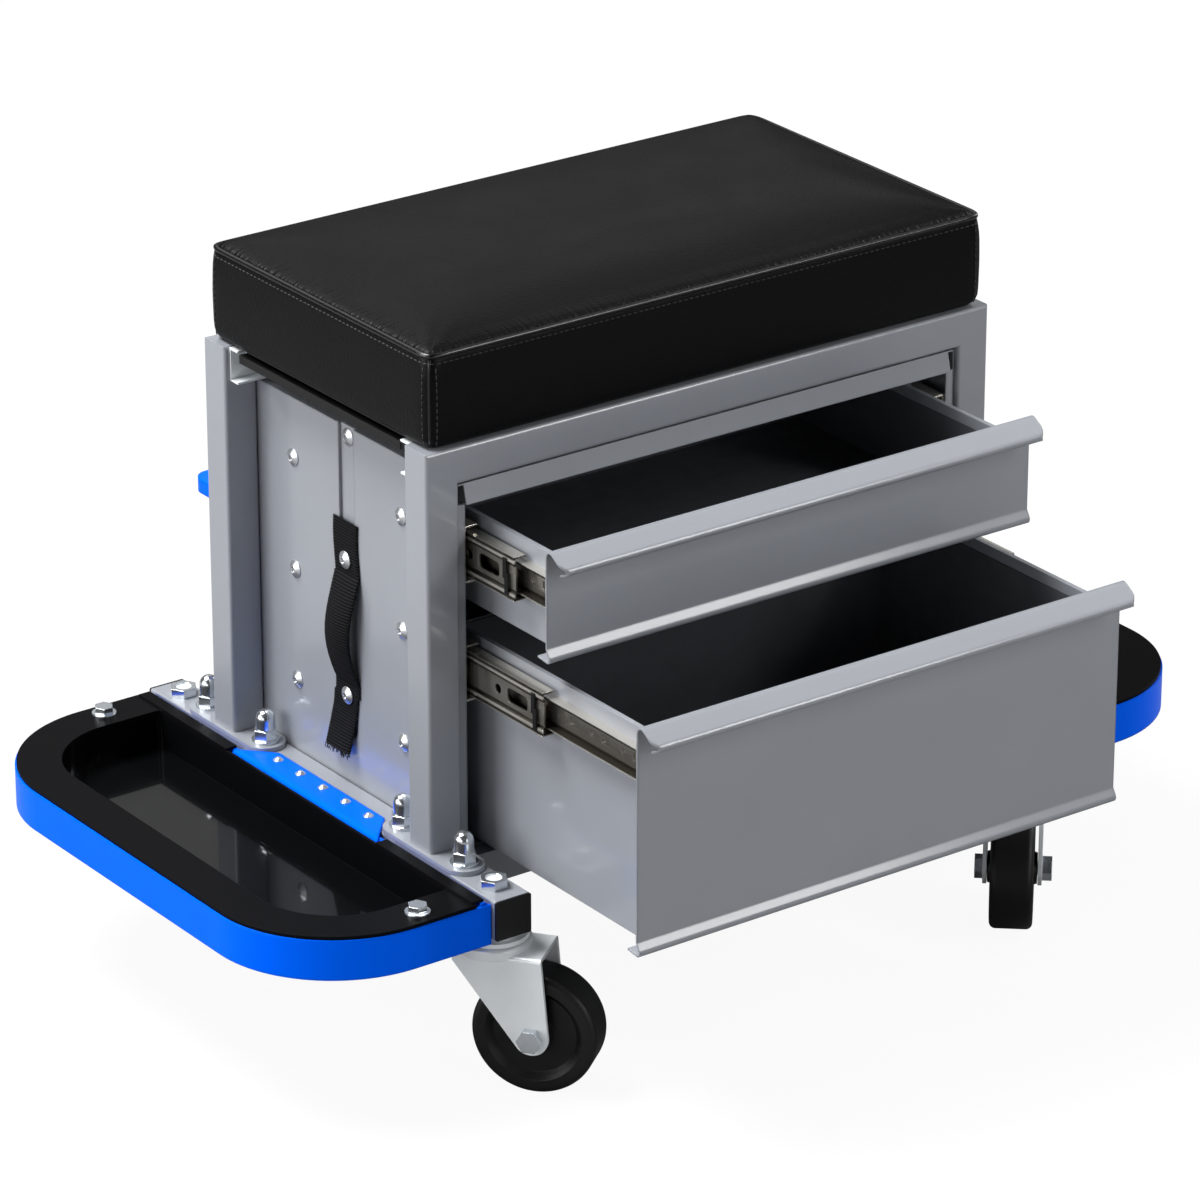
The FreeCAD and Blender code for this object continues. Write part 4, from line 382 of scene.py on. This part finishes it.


# polypropylene webbing, woven in ribs across the strap: dull, with small glints on each yarn; the low gaps
# between ribs and yarns are painted black, a painted shade
def wovenWebbing():
    material, tree = startMaterial("polypropylene webbing, woven black")
    place = addNode(tree, "ShaderNodeTexCoord").outputs["Object"]
    parts = addNode(tree, "ShaderNodeSeparateXYZ", links={"Vector": place})
    up = addNode(tree, "ShaderNodeMath", {1: 2 * math.pi * perMetre(webbingLook["rib"])},
                 {0: parts.outputs["Z"]}, operation="MULTIPLY")
    across = addNode(tree, "ShaderNodeMath", {1: 2 * math.pi * perMetre(webbingLook["yarnWide"])},
                     {0: parts.outputs["Y"]}, operation="MULTIPLY")
    ribs = addNode(tree, "ShaderNodeMath", links={0: up.outputs["Value"]}, operation="SINE")
    yarns = addNode(tree, "ShaderNodeMath", links={0: across.outputs["Value"]}, operation="SINE")
    weave = addNode(tree, "ShaderNodeMath", links={0: ribs.outputs["Value"], 1: yarns.outputs["Value"]},
                    operation="MULTIPLY")
    both = addNode(tree, "ShaderNodeMath", links={0: ribs.outputs["Value"], 1: weave.outputs["Value"]},
                   operation="ADD")
    height = addNode(tree, "ShaderNodeMapRange", {"From Min": -2.0, "From Max": 2.0},  # two sines added
                     {"Value": both.outputs["Value"]})
    # painted shade: the gap tone, black, fills the low parts between ribs and yarns
    colour = addNode(tree, "ShaderNodeMix",
                     {mixFirst: tone(webbingLook["gap"]), mixSecond: tone(webbingLook["yarn"])},
                     {0: height.outputs["Result"]}, data_type="RGBA")
    bump = addNode(tree, "ShaderNodeBump",
                   {"Strength": webbingLook["strength"], "Distance": webbingLook["depth"]},
                   {"Height": height.outputs["Result"]})
    skin = addNode(tree, "ShaderNodeBsdfPrincipled",
                   {"Roughness": webbingLook["roughness"], "IOR": 1.49,
                    "Specular IOR Level": webbingLook["shine"]},
                   {"Base Color": colour.outputs[mixResult], "Normal": bump.outputs["Normal"]})
    addNode(tree, "ShaderNodeOutputMaterial", links={"Surface": skin.outputs["BSDF"]})
    return material


boardLook = {
    "wood": "#1B1917", "pore": "#0F0E0D", "grain": 4, "alongGrain": 0.12, "strength": 0.2, "depth": 0.0003,
    "roughness": 0.62,
}


# birch plywood, sanded and stained black: the grain still shows along the board
def stainedPlywood():
    material, tree = startMaterial("birch plywood, stained black")
    place = addNode(tree, "ShaderNodeTexCoord").outputs["Object"]
    drawn = addNode(tree, "ShaderNodeMapping", {"Scale": (boardLook["alongGrain"], 1.0, 1.0)},
                    {"Vector": place})
    grain = addNode(tree, "ShaderNodeTexNoise", {"Scale": perMetre(boardLook["grain"]), "Detail": 6.0},
                    {"Vector": drawn.outputs["Vector"]})
    colour = addNode(tree, "ShaderNodeMix",
                     {mixFirst: tone(boardLook["wood"]), mixSecond: tone(boardLook["pore"])},
                     {0: grain.outputs["Fac"]}, data_type="RGBA")
    bump = addNode(tree, "ShaderNodeBump",
                   {"Strength": boardLook["strength"], "Distance": boardLook["depth"]},
                   {"Height": grain.outputs["Fac"]})
    skin = addNode(tree, "ShaderNodeBsdfPrincipled", {"Roughness": boardLook["roughness"], "IOR": 1.5},
                   {"Base Color": colour.outputs[mixResult], "Normal": bump.outputs["Normal"]})
    addNode(tree, "ShaderNodeOutputMaterial", links={"Surface": skin.outputs["BSDF"]})
    return material


silver = silverPowderCoat("powder coated steel, baked silver", edge["tube"])
pressedSilver = silverPowderCoat("powder coated steel, baked silver over pressed channels", edge["pressed"])
blue = bluePowderCoat()
black = blackEnamel()
zinc = brightMetal("zinc plated steel, bright", "zinc")
slideSteel = brightMetal("cold rolled steel, nickel plated", "slide", (1, 0.06, 1), rolled=True)
boltMetal = brightMetal("zinc plated steel fasteners, bright", "bolt")
rivetMetal = brightMetal("aluminium rivet, formed", "rivet")
capPlastic = mouldedPlastic("polypropylene, moulded matt black", "cap")
wheelPolymer = mouldedPlastic("polyolefin, moulded black wheel", "wheel")
matVinyl = mouldedPlastic("vinyl mat, calendered black", "mat")
vinyl = leatherette("leatherette, embossed black vinyl", leatherLook["roughness"], leatherLook["shine"], 1.0)
piping = leatherette("leatherette piping, vinyl stretched smooth", leatherLook["pipingRoughness"],
                     leatherLook["pipingShine"], leatherLook["pipingGrain"])
thread = seamThread()
webbing = wovenWebbing()
plywood = stainedPlywood()

# finish of each piece of the frame, silver powder coat where none is named
finishes = {
    "tube_end_caps": capPlastic, "foot_bolts": boltMetal, "caster_stems": zinc, "stem_nuts": boltMetal,
    "slide_uprights": zinc, "panel_rivets": rivetMetal, "seat_board": plywood, "seat_screws": boltMetal,
    "cabinet_slide_members": slideSteel, "side_tray_rails": zinc, "left_hinge_strap": blue,
    "right_hinge_strap": blue, "hinge_rivets": rivetMetal, "tool_rack": blue, "rack_bolts": boltMetal,
    "side_tray": capPlastic, "side_tray_members": zinc,
    "cabinet_left_side": pressedSilver, "cabinet_right_side": pressedSilver,
    "top_drawer_front": pressedSilver, "bottom_drawer_front": pressedSilver,
}
for drawer in ("top", "bottom"):
    finishes.update({drawer + "_drawer_liner": matVinyl, drawer + "_drawer_members": slideSteel,
                     drawer + "_slide_middles": slideSteel, drawer + "_slide_cages": zinc,
                     drawer + "_slide_clips": capPlastic})
for side in ("left", "right"):
    finishes.update({side + "_tray_frame": blue, side + "_tray_pan": black, side + "_tray_bolts": boltMetal})
for caster in ("front_left", "front_right", "rear_left", "rear_right"):
    finishes.update({caster + "_fork": zinc, caster + "_axle": boltMetal, caster + "_wheel": wheelPolymer})

for name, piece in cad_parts.items():
    piece.data.materials.clear()
    piece.data.materials.append(finishes.get(name, silver))
print("stage: materials")


def meshPiece(name, meshData, material, smooth=True):
    mesh = bpy.data.meshes.new(name)
    mesh.from_pydata(*meshData)
    mesh.validate()
    mesh.update()
    piece = bpy.data.objects.new(name, mesh)
    bpy.context.scene.collection.objects.link(piece)
    mesh.materials.append(material)
    if smooth:
        mesh.polygons.foreach_set("use_smooth", [True] * len(mesh.polygons))
    return piece


# a tube of round section along a line of points
def tubeData(points, radius, sides=8, closed=False):
    verts, faces = [], []
    count = len(points)
    aside = Vector((0.31, 0.17, 0.94)).normalized()  # a direction that no line here runs along
    for i, point in enumerate(points):
        before = points[(i - 1) % count] if closed or i else point
        after = points[(i + 1) % count] if closed or i < count - 1 else point
        run = (after - before).normalized()
        first = run.cross(aside).normalized()
        second = run.cross(first).normalized()
        for k in range(sides):
            angle = 2 * math.pi * k / sides
            spoke = first * (radius * math.cos(angle)) + second * (radius * math.sin(angle))
            verts.append(tuple(point + spoke))
    for i in range(count if closed else count - 1):
        j = (i + 1) % count
        for k in range(sides):
            m = (k + 1) % sides
            faces.append((i * sides + k, i * sides + m, j * sides + m, j * sides + k))
    if not closed:
        faces.append(tuple(range(sides))[::-1])
        faces.append(tuple((count - 1) * sides + k for k in range(sides)))
    return verts, [], faces


# adds one mesh to another that is being gathered
def gather(verts, faces, data):
    faces.extend(tuple(index + len(verts) for index in face) for face in data[2])
    verts.extend(data[0])


cushion = {
    "wide": 0.402, "deep": 0.228, "seamHeight": 0.4313, "corner": 0.006, "start": 0.0003, "lift": 0.0004,
    "crown": 0.0055, "seamInset": 0.0014, "edgeFall": 0.01, "outlineStep": 0.005,
    "sideInsets": ((0, 0.0010), (0.05, 0.0004), (0.2, 0.0002), (0.5, 0.0), (0.8, 0.0003), (0.95, 0.0010),
                   (1, 0.0014)),
    "crownShares": ((0.12, 0.38), (0.35, 0.68), (0.7, 0.86), (1.0, 0.93), (1.9, 0.98), (3.2, 1.0)),
    "voxel": 0.004, "pressure": 4.0, "frames": 20, "cap": 0.005, "heldAtSeam": 0.004, "heldAtFoot": 0.006,
    "floorGap": 0.0003, "gatherReach": 0.016, "gatherFrom": 0.0008,
}
lowCorner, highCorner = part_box("seat_cushion")
seatFoot = lowCorner[2]
middleY = (lowCorner[1] + highCorner[1]) / 2


# outline of the cushion at one height, a rounded rectangle walked anticlockwise
def outline(wide, deep, corner, step):
    x, y = wide / 2 - corner, deep / 2 - corner
    arcSteps = max(4, int(corner * math.pi / 2 / step) + 1)
    arcs = []
    for cx, cy, begin in ((x, -y, -90), (x, y, 0), (-x, y, 90), (-x, -y, 180)):
        angles = [math.radians(begin + 90 * k / arcSteps) for k in range(arcSteps + 1)]
        arcs.append([Vector((cx + corner * math.cos(a), cy + corner * math.sin(a), 0)) for a in angles])
    points = []
    for arc, following in zip(arcs, arcs[1:] + arcs[:1]):
        points.extend(arc)
        runs = max(1, int((following[0] - arc[-1]).length / step))
        points.extend(arc[-1].lerp(following[0], k / runs) for k in range(1, runs))
    return points


# the closed form before it swells: drawn in at the foot, crisp at the seam, crowned on top
def cushionForm():
    tall = cushion["seamHeight"] - seatFoot
    rings = [(inset, seatFoot + cushion["lift"] + tall * share) for share, inset in cushion["sideInsets"]]
    for share, rise in cushion["crownShares"]:
        rings.append((cushion["seamInset"] + cushion["edgeFall"] * share,
                      cushion["seamHeight"] + cushion["crown"] * rise))
    base = outline(cushion["wide"] - 2 * cushion["start"], cushion["deep"] - 2 * cushion["start"],
                   cushion["corner"], cushion["outlineStep"])
    count = len(base)
    verts, faces = [], []
    for inset, height in rings:
        sx = (cushion["wide"] / 2 - inset) / (cushion["wide"] / 2)
        sy = (cushion["deep"] / 2 - inset) / (cushion["deep"] / 2)
        verts.extend((point.x * sx, point.y * sy + middleY, height) for point in base)
    for r in range(len(rings) - 1):
        for k in range(count):
            m = (k + 1) % count
            faces.append((r * count + k, r * count + m, (r + 1) * count + m, (r + 1) * count + k))
    faces.append(tuple(range(count))[::-1])
    faces.append(tuple((len(rings) - 1) * count + k for k in range(count)))
    return verts, [], faces


def applied(piece, modifier):
    bpy.context.view_layer.objects.active = piece
    bpy.ops.object.modifier_apply(modifier=modifier.name)


def evenFaces(piece):
    remesh = piece.modifiers.new("evenFaces", "REMESH")
    remesh.mode = "VOXEL"
    remesh.voxel_size = cushion["voxel"]
    applied(piece, remesh)


# cloth filled by pressure and held at the seam and the foot, each point moving no further than the cap
def swell(piece):
    start = [v.co.copy() for v in piece.data.vertices]
    held = piece.vertex_groups.new(name="held")
    for v in piece.data.vertices:
        side = max(abs(v.co.x) - cushion["wide"] / 2, abs(v.co.y - middleY) - cushion["deep"] / 2)
        atSeam = abs(v.co.z - cushion["seamHeight"]) < cushion["heldAtSeam"] and side > -cushion["heldAtFoot"]
        atFoot = v.co.z < seatFoot + cushion["heldAtFoot"]
        if atSeam or atFoot:
            held.add([v.index], 1.0, "REPLACE")
    cloth = piece.modifiers.new("swelling", "CLOTH")
    cloth.settings.use_pressure = True
    cloth.settings.uniform_pressure_force = cushion["pressure"]
    cloth.settings.effector_weights.gravity = 0
    cloth.settings.vertex_group_mass = "held"
    cloth.point_cache.frame_start = 1
    cloth.point_cache.frame_end = cushion["frames"]
    for frameNumber in range(1, cushion["frames"] + 1):
        bpy.context.scene.frame_set(frameNumber)
        bpy.context.view_layer.update()
    applied(piece, cloth)
    bpy.context.scene.frame_set(1)
    for v, was in zip(piece.data.vertices, start):
        move = v.co - was
        if move.length > cushion["cap"]:
            move = move.normalized() * cushion["cap"]
        v.co = was + move
        v.co.z = max(v.co.z, seatFoot + cushion["floorGap"])


def soften(piece):
    smoother = piece.modifiers.new("evening", "SMOOTH")
    smoother.iterations = 1
    smoother.factor = 0.5
    applied(piece, smoother)
    finer = piece.modifiers.new("finer", "SUBSURF")
    finer.levels = 1
    finer.render_levels = 1
    applied(piece, finer)


# how near each point is to the top seam, and how far along it, for the gathers in the leatherette
def markSeam(piece):
    mesh = piece.data
    nearness = mesh.attributes.new("nearSeam", "FLOAT", "POINT")
    along = mesh.attributes.new("alongSeam", "FLOAT", "POINT")
    for v in mesh.vertices:
        x, y = v.co.x, v.co.y - middleY
        toX = cushion["wide"] / 2 - abs(x)
        toY = cushion["deep"] / 2 - abs(y)
        onTop = v.co.z > cushion["seamHeight"] + cushion["gatherFrom"]
        nearness.data[v.index].value = max(0.0, 1 - min(toX, toY) / cushion["gatherReach"]) if onTop else 0.0
        along.data[v.index].value = y if toX < toY else x


cushionPiece = meshPiece("cushion", cushionForm(), vinyl)
evenFaces(cushionPiece)
swell(cushionPiece)
soften(cushionPiece)
markSeam(cushionPiece)
cushionPiece.data.polygons.foreach_set("use_smooth", [True] * len(cushionPiece.data.polygons))
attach(cushionPiece, "base")
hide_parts("seat_cushion")
print("stage: cushion", len(cushionPiece.data.vertices))

seams = {
    "step": 0.003, "weltRadius": 0.0017, "weltLift": 0.0002, "cornerRadius": 0.0009, "cornerSunk": 0.0002,
    "threadRadius": 0.0004, "threadLift": 0.0001, "threadSides": 6, "stitch": 0.003, "gap": 0.001,
    "stitchShares": (0.0, 0.2, 0.5, 0.8, 1.0), "bowShares": (0.35, 0.95, 1.0, 0.95, 0.35),
    "belowSeam": 0.0042, "besideCorner": 0.0066, "rowSteps": 12, "reach": 0.05,
    "cornerFoot": 0.002, "cornerTop": 0.001, "rowFoot": 0.004, "rowTop": 0.007,
}
surface = BVHTree.FromObject(cushionPiece, bpy.context.evaluated_depsgraph_get())


# the cushion's skin straight in from outside at a point of its outline
def onSkin(point, outward, lift):
    hit, normal, face, distance = surface.ray_cast(point + outward * seams["reach"], -outward)
    if hit is None:
        hit, normal, face, distance = surface.find_nearest(point)
    return hit + normal * lift


def seamLine(height, lift):
    reachX, reachY = cushion["wide"] / 2 - cushion["corner"], cushion["deep"] / 2 - cushion["corner"]
    line = []
    for point in outline(cushion["wide"], cushion["deep"], cushion["corner"], seams["step"]):
        inner = Vector((max(-reachX, min(reachX, point.x)), max(-reachY, min(reachY, point.y)), 0))
        outward = (point - inner).normalized()
        line.append(onSkin(Vector((point.x, point.y + middleY, height)), outward, lift))
    return line


# a line up one side of the cushion near a corner, at insets from the two faces
def uprightLine(sx, sy, insetX, insetY, foot, top, outward, lift):
    low, high = seatFoot + foot, cushion["seamHeight"] - top
    x, y = sx * (cushion["wide"] / 2 - insetX), sy * (cushion["deep"] / 2 - insetY) + middleY
    heights = [low + (high - low) * k / seams["rowSteps"] for k in range(seams["rowSteps"] + 1)]
    return [onSkin(Vector((x, y, height)), outward, lift) for height in heights]


# stitches laid end to end along a line, each a short bowed thread
def stitchData(lines):
    verts, faces = [], []
    reach, pitch = seams["stitch"], seams["stitch"] + seams["gap"]
    sides = seams["threadSides"]
    for line in lines:
        travelled = 0.0
        marks = []
        for a, b in zip(line, line[1:]):
            span = (b - a).length
            while travelled <= span and span > 0:
                marks.append((a.lerp(b, travelled / span), (b - a).normalized()))
                travelled += pitch
            travelled -= span
        for centre, run in marks:
            bits = [centre + run * (reach * (t - 0.5)) for t in seams["stitchShares"]]
            ringed, loose, sheath = tubeData(bits, 1.0, sides)
            for i, vert in enumerate(ringed):
                middle = bits[i // sides]
                thick = seams["threadRadius"] * seams["bowShares"][i // sides]
                ringed[i] = tuple(middle + (Vector(vert) - middle) * thick)
            gather(verts, faces, (ringed, loose, sheath))
    return verts, [], faces


topSeam = seamLine(cushion["seamHeight"], seams["weltLift"])
welt = meshPiece("cushion_seam", tubeData(topSeam, seams["weltRadius"], 10, True), piping)
topRow = seamLine(cushion["seamHeight"] - seams["belowSeam"], seams["threadLift"])
stitchLines = [topRow + topRow[:1]]
cornerVerts, cornerFaces = [], []
tip = cushion["corner"] * (1 - math.sqrt(0.5))  # how far the rounded corner stands in from the square one
beside = seams["besideCorner"]
for sx in (-1, 1):
    for sy in (-1, 1):
        post = uprightLine(sx, sy, tip, tip, seams["cornerFoot"], seams["cornerTop"],
                           Vector((sx, sy, 0)).normalized(), -seams["cornerSunk"])
        gather(cornerVerts, cornerFaces, tubeData(post, seams["cornerRadius"]))
        for insetX, insetY, outward in ((beside, 0, Vector((0, sy, 0))), (0, beside, Vector((sx, 0, 0)))):
            stitchLines.append(uprightLine(sx, sy, insetX, insetY, seams["rowFoot"], seams["rowTop"],
                                           outward, seams["threadLift"]))
stitches = meshPiece("cushion_stitches", stitchData(stitchLines), thread)
cornerSeams = meshPiece("cushion_corner_seams", (cornerVerts, [], cornerFaces), piping)
for piece in (welt, stitches, cornerSeams):
    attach(piece, "base")
print("stage: cushion seams")

strap = {
    "wide": 0.025, "thick": 0.0018, "top": 0.291, "loopTop": 0.2577, "loopFoot": 0.189, "flatFoot": 0.171,
    "foot": 0.1442, "loop": 0.0088, "loopPower": 0.8, "footLift": 0.005, "liftPower": 1.6,
    "rib": 0.0019, "ribDepth": 0.0006, "rim": 0.0012, "rimShare": 0.55, "bow": 0.25, "bowFrom": 0.001,
    "tooth": 0.0009, "toothBand": 0.0005, "behind": 0.0002, "behindShare": 0.1,
    "drift": 0.006, "driftTop": 0.266, "driftPower": 1.5, "driftLow": 0.18, "driftShare": 0.6,
    "skew": 0.0012, "skewPerMetre": 95, "steps": 260, "across": 16,
}
strapLow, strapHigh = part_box("webbing_strap")
panelFace = strapHigh[0]
strapMid = (strapLow[1] + strapHigh[1]) / 2


# how far the strap stands off the panel at one height: flat at the rivets, a loop between, a lifted end
def strapStand(height):
    if strap["loopFoot"] <= height < strap["loopTop"]:
        share = (height - strap["loopFoot"]) / (strap["loopTop"] - strap["loopFoot"])
        return strap["loop"] * math.sin(math.pi * share) ** strap["loopPower"]
    if height >= strap["flatFoot"]:
        return 0.0
    share = (strap["flatFoot"] - height) / (strap["flatFoot"] - strap["foot"])
    return strap["footLift"] * share ** strap["liftPower"]


# how far the strap hangs aside below its top rivet
def strapDrift(height):
    share = max(0.0, (strap["driftTop"] - height) / (strap["driftTop"] - strap["foot"]))
    full = 1 if height < strap["driftLow"] else strap["driftShare"]
    return strap["drift"] * share ** strap["driftPower"] * full


def strapData():
    half = strap["wide"] / 2
    tall = strap["top"] - strap["foot"]
    heights = [strap["top"] - tall * k / strap["steps"] for k in range(strap["steps"] + 1)]
    crossing = [(k / strap["across"] * 2 - 1) * half for k in range(strap["across"] + 1)]
    section = [(y, True) for y in crossing] + [(y, False) for y in reversed(crossing)]  # outer, then inner
    count = len(section)
    verts, faces = [], []
    for i, height in enumerate(heights):
        rib = 0.5 + 0.5 * math.cos(2 * math.pi * i * tall / strap["steps"] / strap["rib"])
        stand = strapStand(height)
        middle = strapMid + strap["skew"] * math.sin(height * strap["skewPerMetre"]) + strapDrift(height)
        for y, outer in section:
            rim = min(1.0, (half - abs(y)) / strap["rim"])
            bow = 1 - strap["bow"] * (y / half) ** 2 if stand > strap["bowFrom"] else 1
            thick = strap["thick"] * (strap["rimShare"] + (1 - strap["rimShare"]) * rim)
            face = thick - strap["ribDepth"] * (1 - rib) * rim
            if not outer:
                face = strap["thick"] * strap["behindShare"] * (1 - rim) + strap["behind"]
            tooth = strap["tooth"] * (rib - 0.5) if abs(y) > half - strap["toothBand"] else 0
            aside = tooth if y > 0 else -tooth
            verts.append((panelFace - stand * bow - face, middle + y + aside, height))
    for i in range(len(heights) - 1):
        for k in range(count):
            m = (k + 1) % count
            faces.append((i * count + k, i * count + m, (i + 1) * count + m, (i + 1) * count + k))
    faces.append(tuple(range(count)))
    faces.append(tuple((len(heights) - 1) * count + k for k in range(count))[::-1])
    return verts, [], faces


fray = {
    "seed": 7, "threads": 46, "long": 0.004, "shortest": 0.25, "radius": 0.00022, "sides": 5, "spread": 0.96,
    "off": 0.0058, "offSpread": 0.0006, "root": 0.1446, "lean": 0.0012, "leanOut": 0.0008, "bend": 0.0005,
}


def frayData():
    dice = random.Random(fray["seed"])
    lean, out, bend = fray["lean"], fray["leanOut"], fray["bend"]
    verts, faces = [], []
    for k in range(fray["threads"]):
        share = k / (fray["threads"] - 1) * 2 - 1
        y = strapMid + share * strap["wide"] / 2 * fray["spread"] + strapDrift(strap["foot"])
        off = fray["off"] + dice.uniform(-fray["offSpread"], fray["offSpread"])
        root = Vector((panelFace - off, y, fray["root"]))
        reach = fray["long"] * dice.uniform(fray["shortest"], 1.0)
        tip = root + Vector((dice.uniform(-lean, out), dice.uniform(-lean, lean), -reach))
        half = root.lerp(tip, 0.5) + Vector((dice.uniform(-bend, bend), dice.uniform(-bend, bend), 0))
        gather(verts, faces, tubeData([root, half, tip], fray["radius"], fray["sides"]))
    return verts, [], faces


strapPiece = meshPiece("webbing_strap_woven", strapData(), webbing)
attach(strapPiece, "base")
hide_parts("webbing_strap")
frayPiece = meshPiece("webbing_strap_frayed_end", frayData(), webbing)
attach(frayPiece, "base")
print("stage: strap")

view = {
    "azimuth": -36.03, "elevation": 23.47, "place": (-2.0205, -2.72645, 1.6864),
    "lens": 186.0, "sensor": 36.0, "farthest": 50,
}
lensData = bpy.data.cameras.new("camera")
lensData.lens = view["lens"]
lensData.sensor_width = view["sensor"]
lensData.sensor_fit = "HORIZONTAL"
lensData.clip_end = view["farthest"]
camera = bpy.data.objects.new("camera", lensData)
bpy.context.scene.collection.objects.link(camera)
azimuth, elevation = math.radians(view["azimuth"]), math.radians(view["elevation"])
level = math.cos(elevation)
back = Vector((math.sin(azimuth) * level, -math.cos(azimuth) * level, math.sin(elevation)))
right = Vector((0, 0, 1)).cross(back).normalized()
above = back.cross(right).normalized()
camera.matrix_world = Matrix.Translation(view["place"]) @ Matrix((right, above, back)).transposed().to_4x4()
bpy.context.scene.camera = camera

# soft boxes around the seat, all turned to its middle; the long strip draws the light line on rolled edges
lampAim = Vector((0, 0, 0.25))
lamps = {
    "left": {"at": (-2.9, 0.95, 1.05), "size": 1.6, "power": 56},
    "leftMid": {"at": (-2.9, -0.2, 0.9), "size": 1.6, "power": 11},
    "low": {"at": (-2.0, -0.95, 0.45), "size": 0.6, "power": 3},
    "over": {"at": (-1.2, 1.0, 3.0), "size": 1.4, "power": 158},
    "top": {"at": (1.6, 0.1, 2.9), "size": 1.6, "power": 8},
    "back": {"at": (-0.1, 2.3, 2.4), "size": 1.6, "power": 10},
    "rear": {"at": (1.4, 2.3, 1.7), "size": 1.6, "power": 4},
    "front": {"at": (0.4, -3.1, 0.9), "size": 1.6, "power": 18},
    "strip": {"at": (1.66, -2.33, 1.87), "size": 0.5, "long": 1.8, "twist": -23, "power": 32},
    "right": {"at": (2.9, 0.2, 1.5), "size": 1.6, "power": 32},
}
for name, lamp in lamps.items():
    data = bpy.data.lights.new(name, "AREA")
    data.energy = lamp["power"]
    data.shape = "RECTANGLE"
    data.size = lamp["size"]
    data.size_y = lamp.get("long", lamp["size"])
    light = bpy.data.objects.new(name, data)
    bpy.context.scene.collection.objects.link(light)
    light.location = lamp["at"]
    facing = (Vector(lamp["at"]) - lampAim).to_track_quat("Z", "Y")
    light.rotation_euler = (facing @ Quaternion((0, 0, 1), math.radians(lamp.get("twist", 0)))).to_euler()

studio = {"dome": 0.02, "floor": "#F4F4F4", "floorLow": "#8C8C8C", "lift": 0.93, "reach": 6}
world = bpy.data.worlds.new("studio")
bpy.context.scene.world = world
world.use_nodes = True
tree = world.node_tree
tree.nodes.clear()
path = addNode(tree, "ShaderNodeLightPath")
seen = addNode(tree, "ShaderNodeMath", operation="MAXIMUM",
               links={0: path.outputs["Is Camera Ray"], 1: path.outputs["Is Transmission Ray"]})
strength = addNode(tree, "ShaderNodeMapRange", {"To Min": studio["dome"], "To Max": 1.0},
                   {"Value": seen.outputs["Value"]})
sky = addNode(tree, "ShaderNodeBackground", {"Color": (1, 1, 1, 1)}, {"Strength": strength.outputs["Result"]})
addNode(tree, "ShaderNodeOutputWorld", links={"Surface": sky.outputs["Background"]})

# matt white floor that keeps the soft shadow: near white to the camera, duller for the light it sends back
floorPaint, tree = startMaterial("studio floor, matt white")
path = addNode(tree, "ShaderNodeLightPath")
shade = addNode(tree, "ShaderNodeMix", {mixFirst: tone(studio["floorLow"]), mixSecond: tone(studio["floor"])},
                {0: path.outputs["Is Camera Ray"]}, data_type="RGBA")
matt = addNode(tree, "ShaderNodeBsdfDiffuse", links={"Color": shade.outputs[mixResult]})
glow = addNode(tree, "ShaderNodeEmission", {"Color": (1, 1, 1, 1), "Strength": 1.0})
lifted = addNode(tree, "ShaderNodeMath", {1: studio["lift"]}, {0: path.outputs["Is Camera Ray"]},
                 operation="MULTIPLY")
mixed = addNode(tree, "ShaderNodeMixShader",
                links={0: lifted.outputs["Value"], 1: matt.outputs["BSDF"], 2: glow.outputs["Emission"]})
addNode(tree, "ShaderNodeOutputMaterial", links={"Surface": mixed.outputs["Shader"]})
reach = studio["reach"]
floorCorners = [(-reach, -reach, 0), (reach, -reach, 0), (reach, reach, 0), (-reach, reach, 0)]
ground = meshPiece("floor", (floorCorners, [], [(0, 1, 2, 3)]), floorPaint, False)

bpy.context.scene.view_settings.view_transform = "Standard"
print("stage: camera and light")
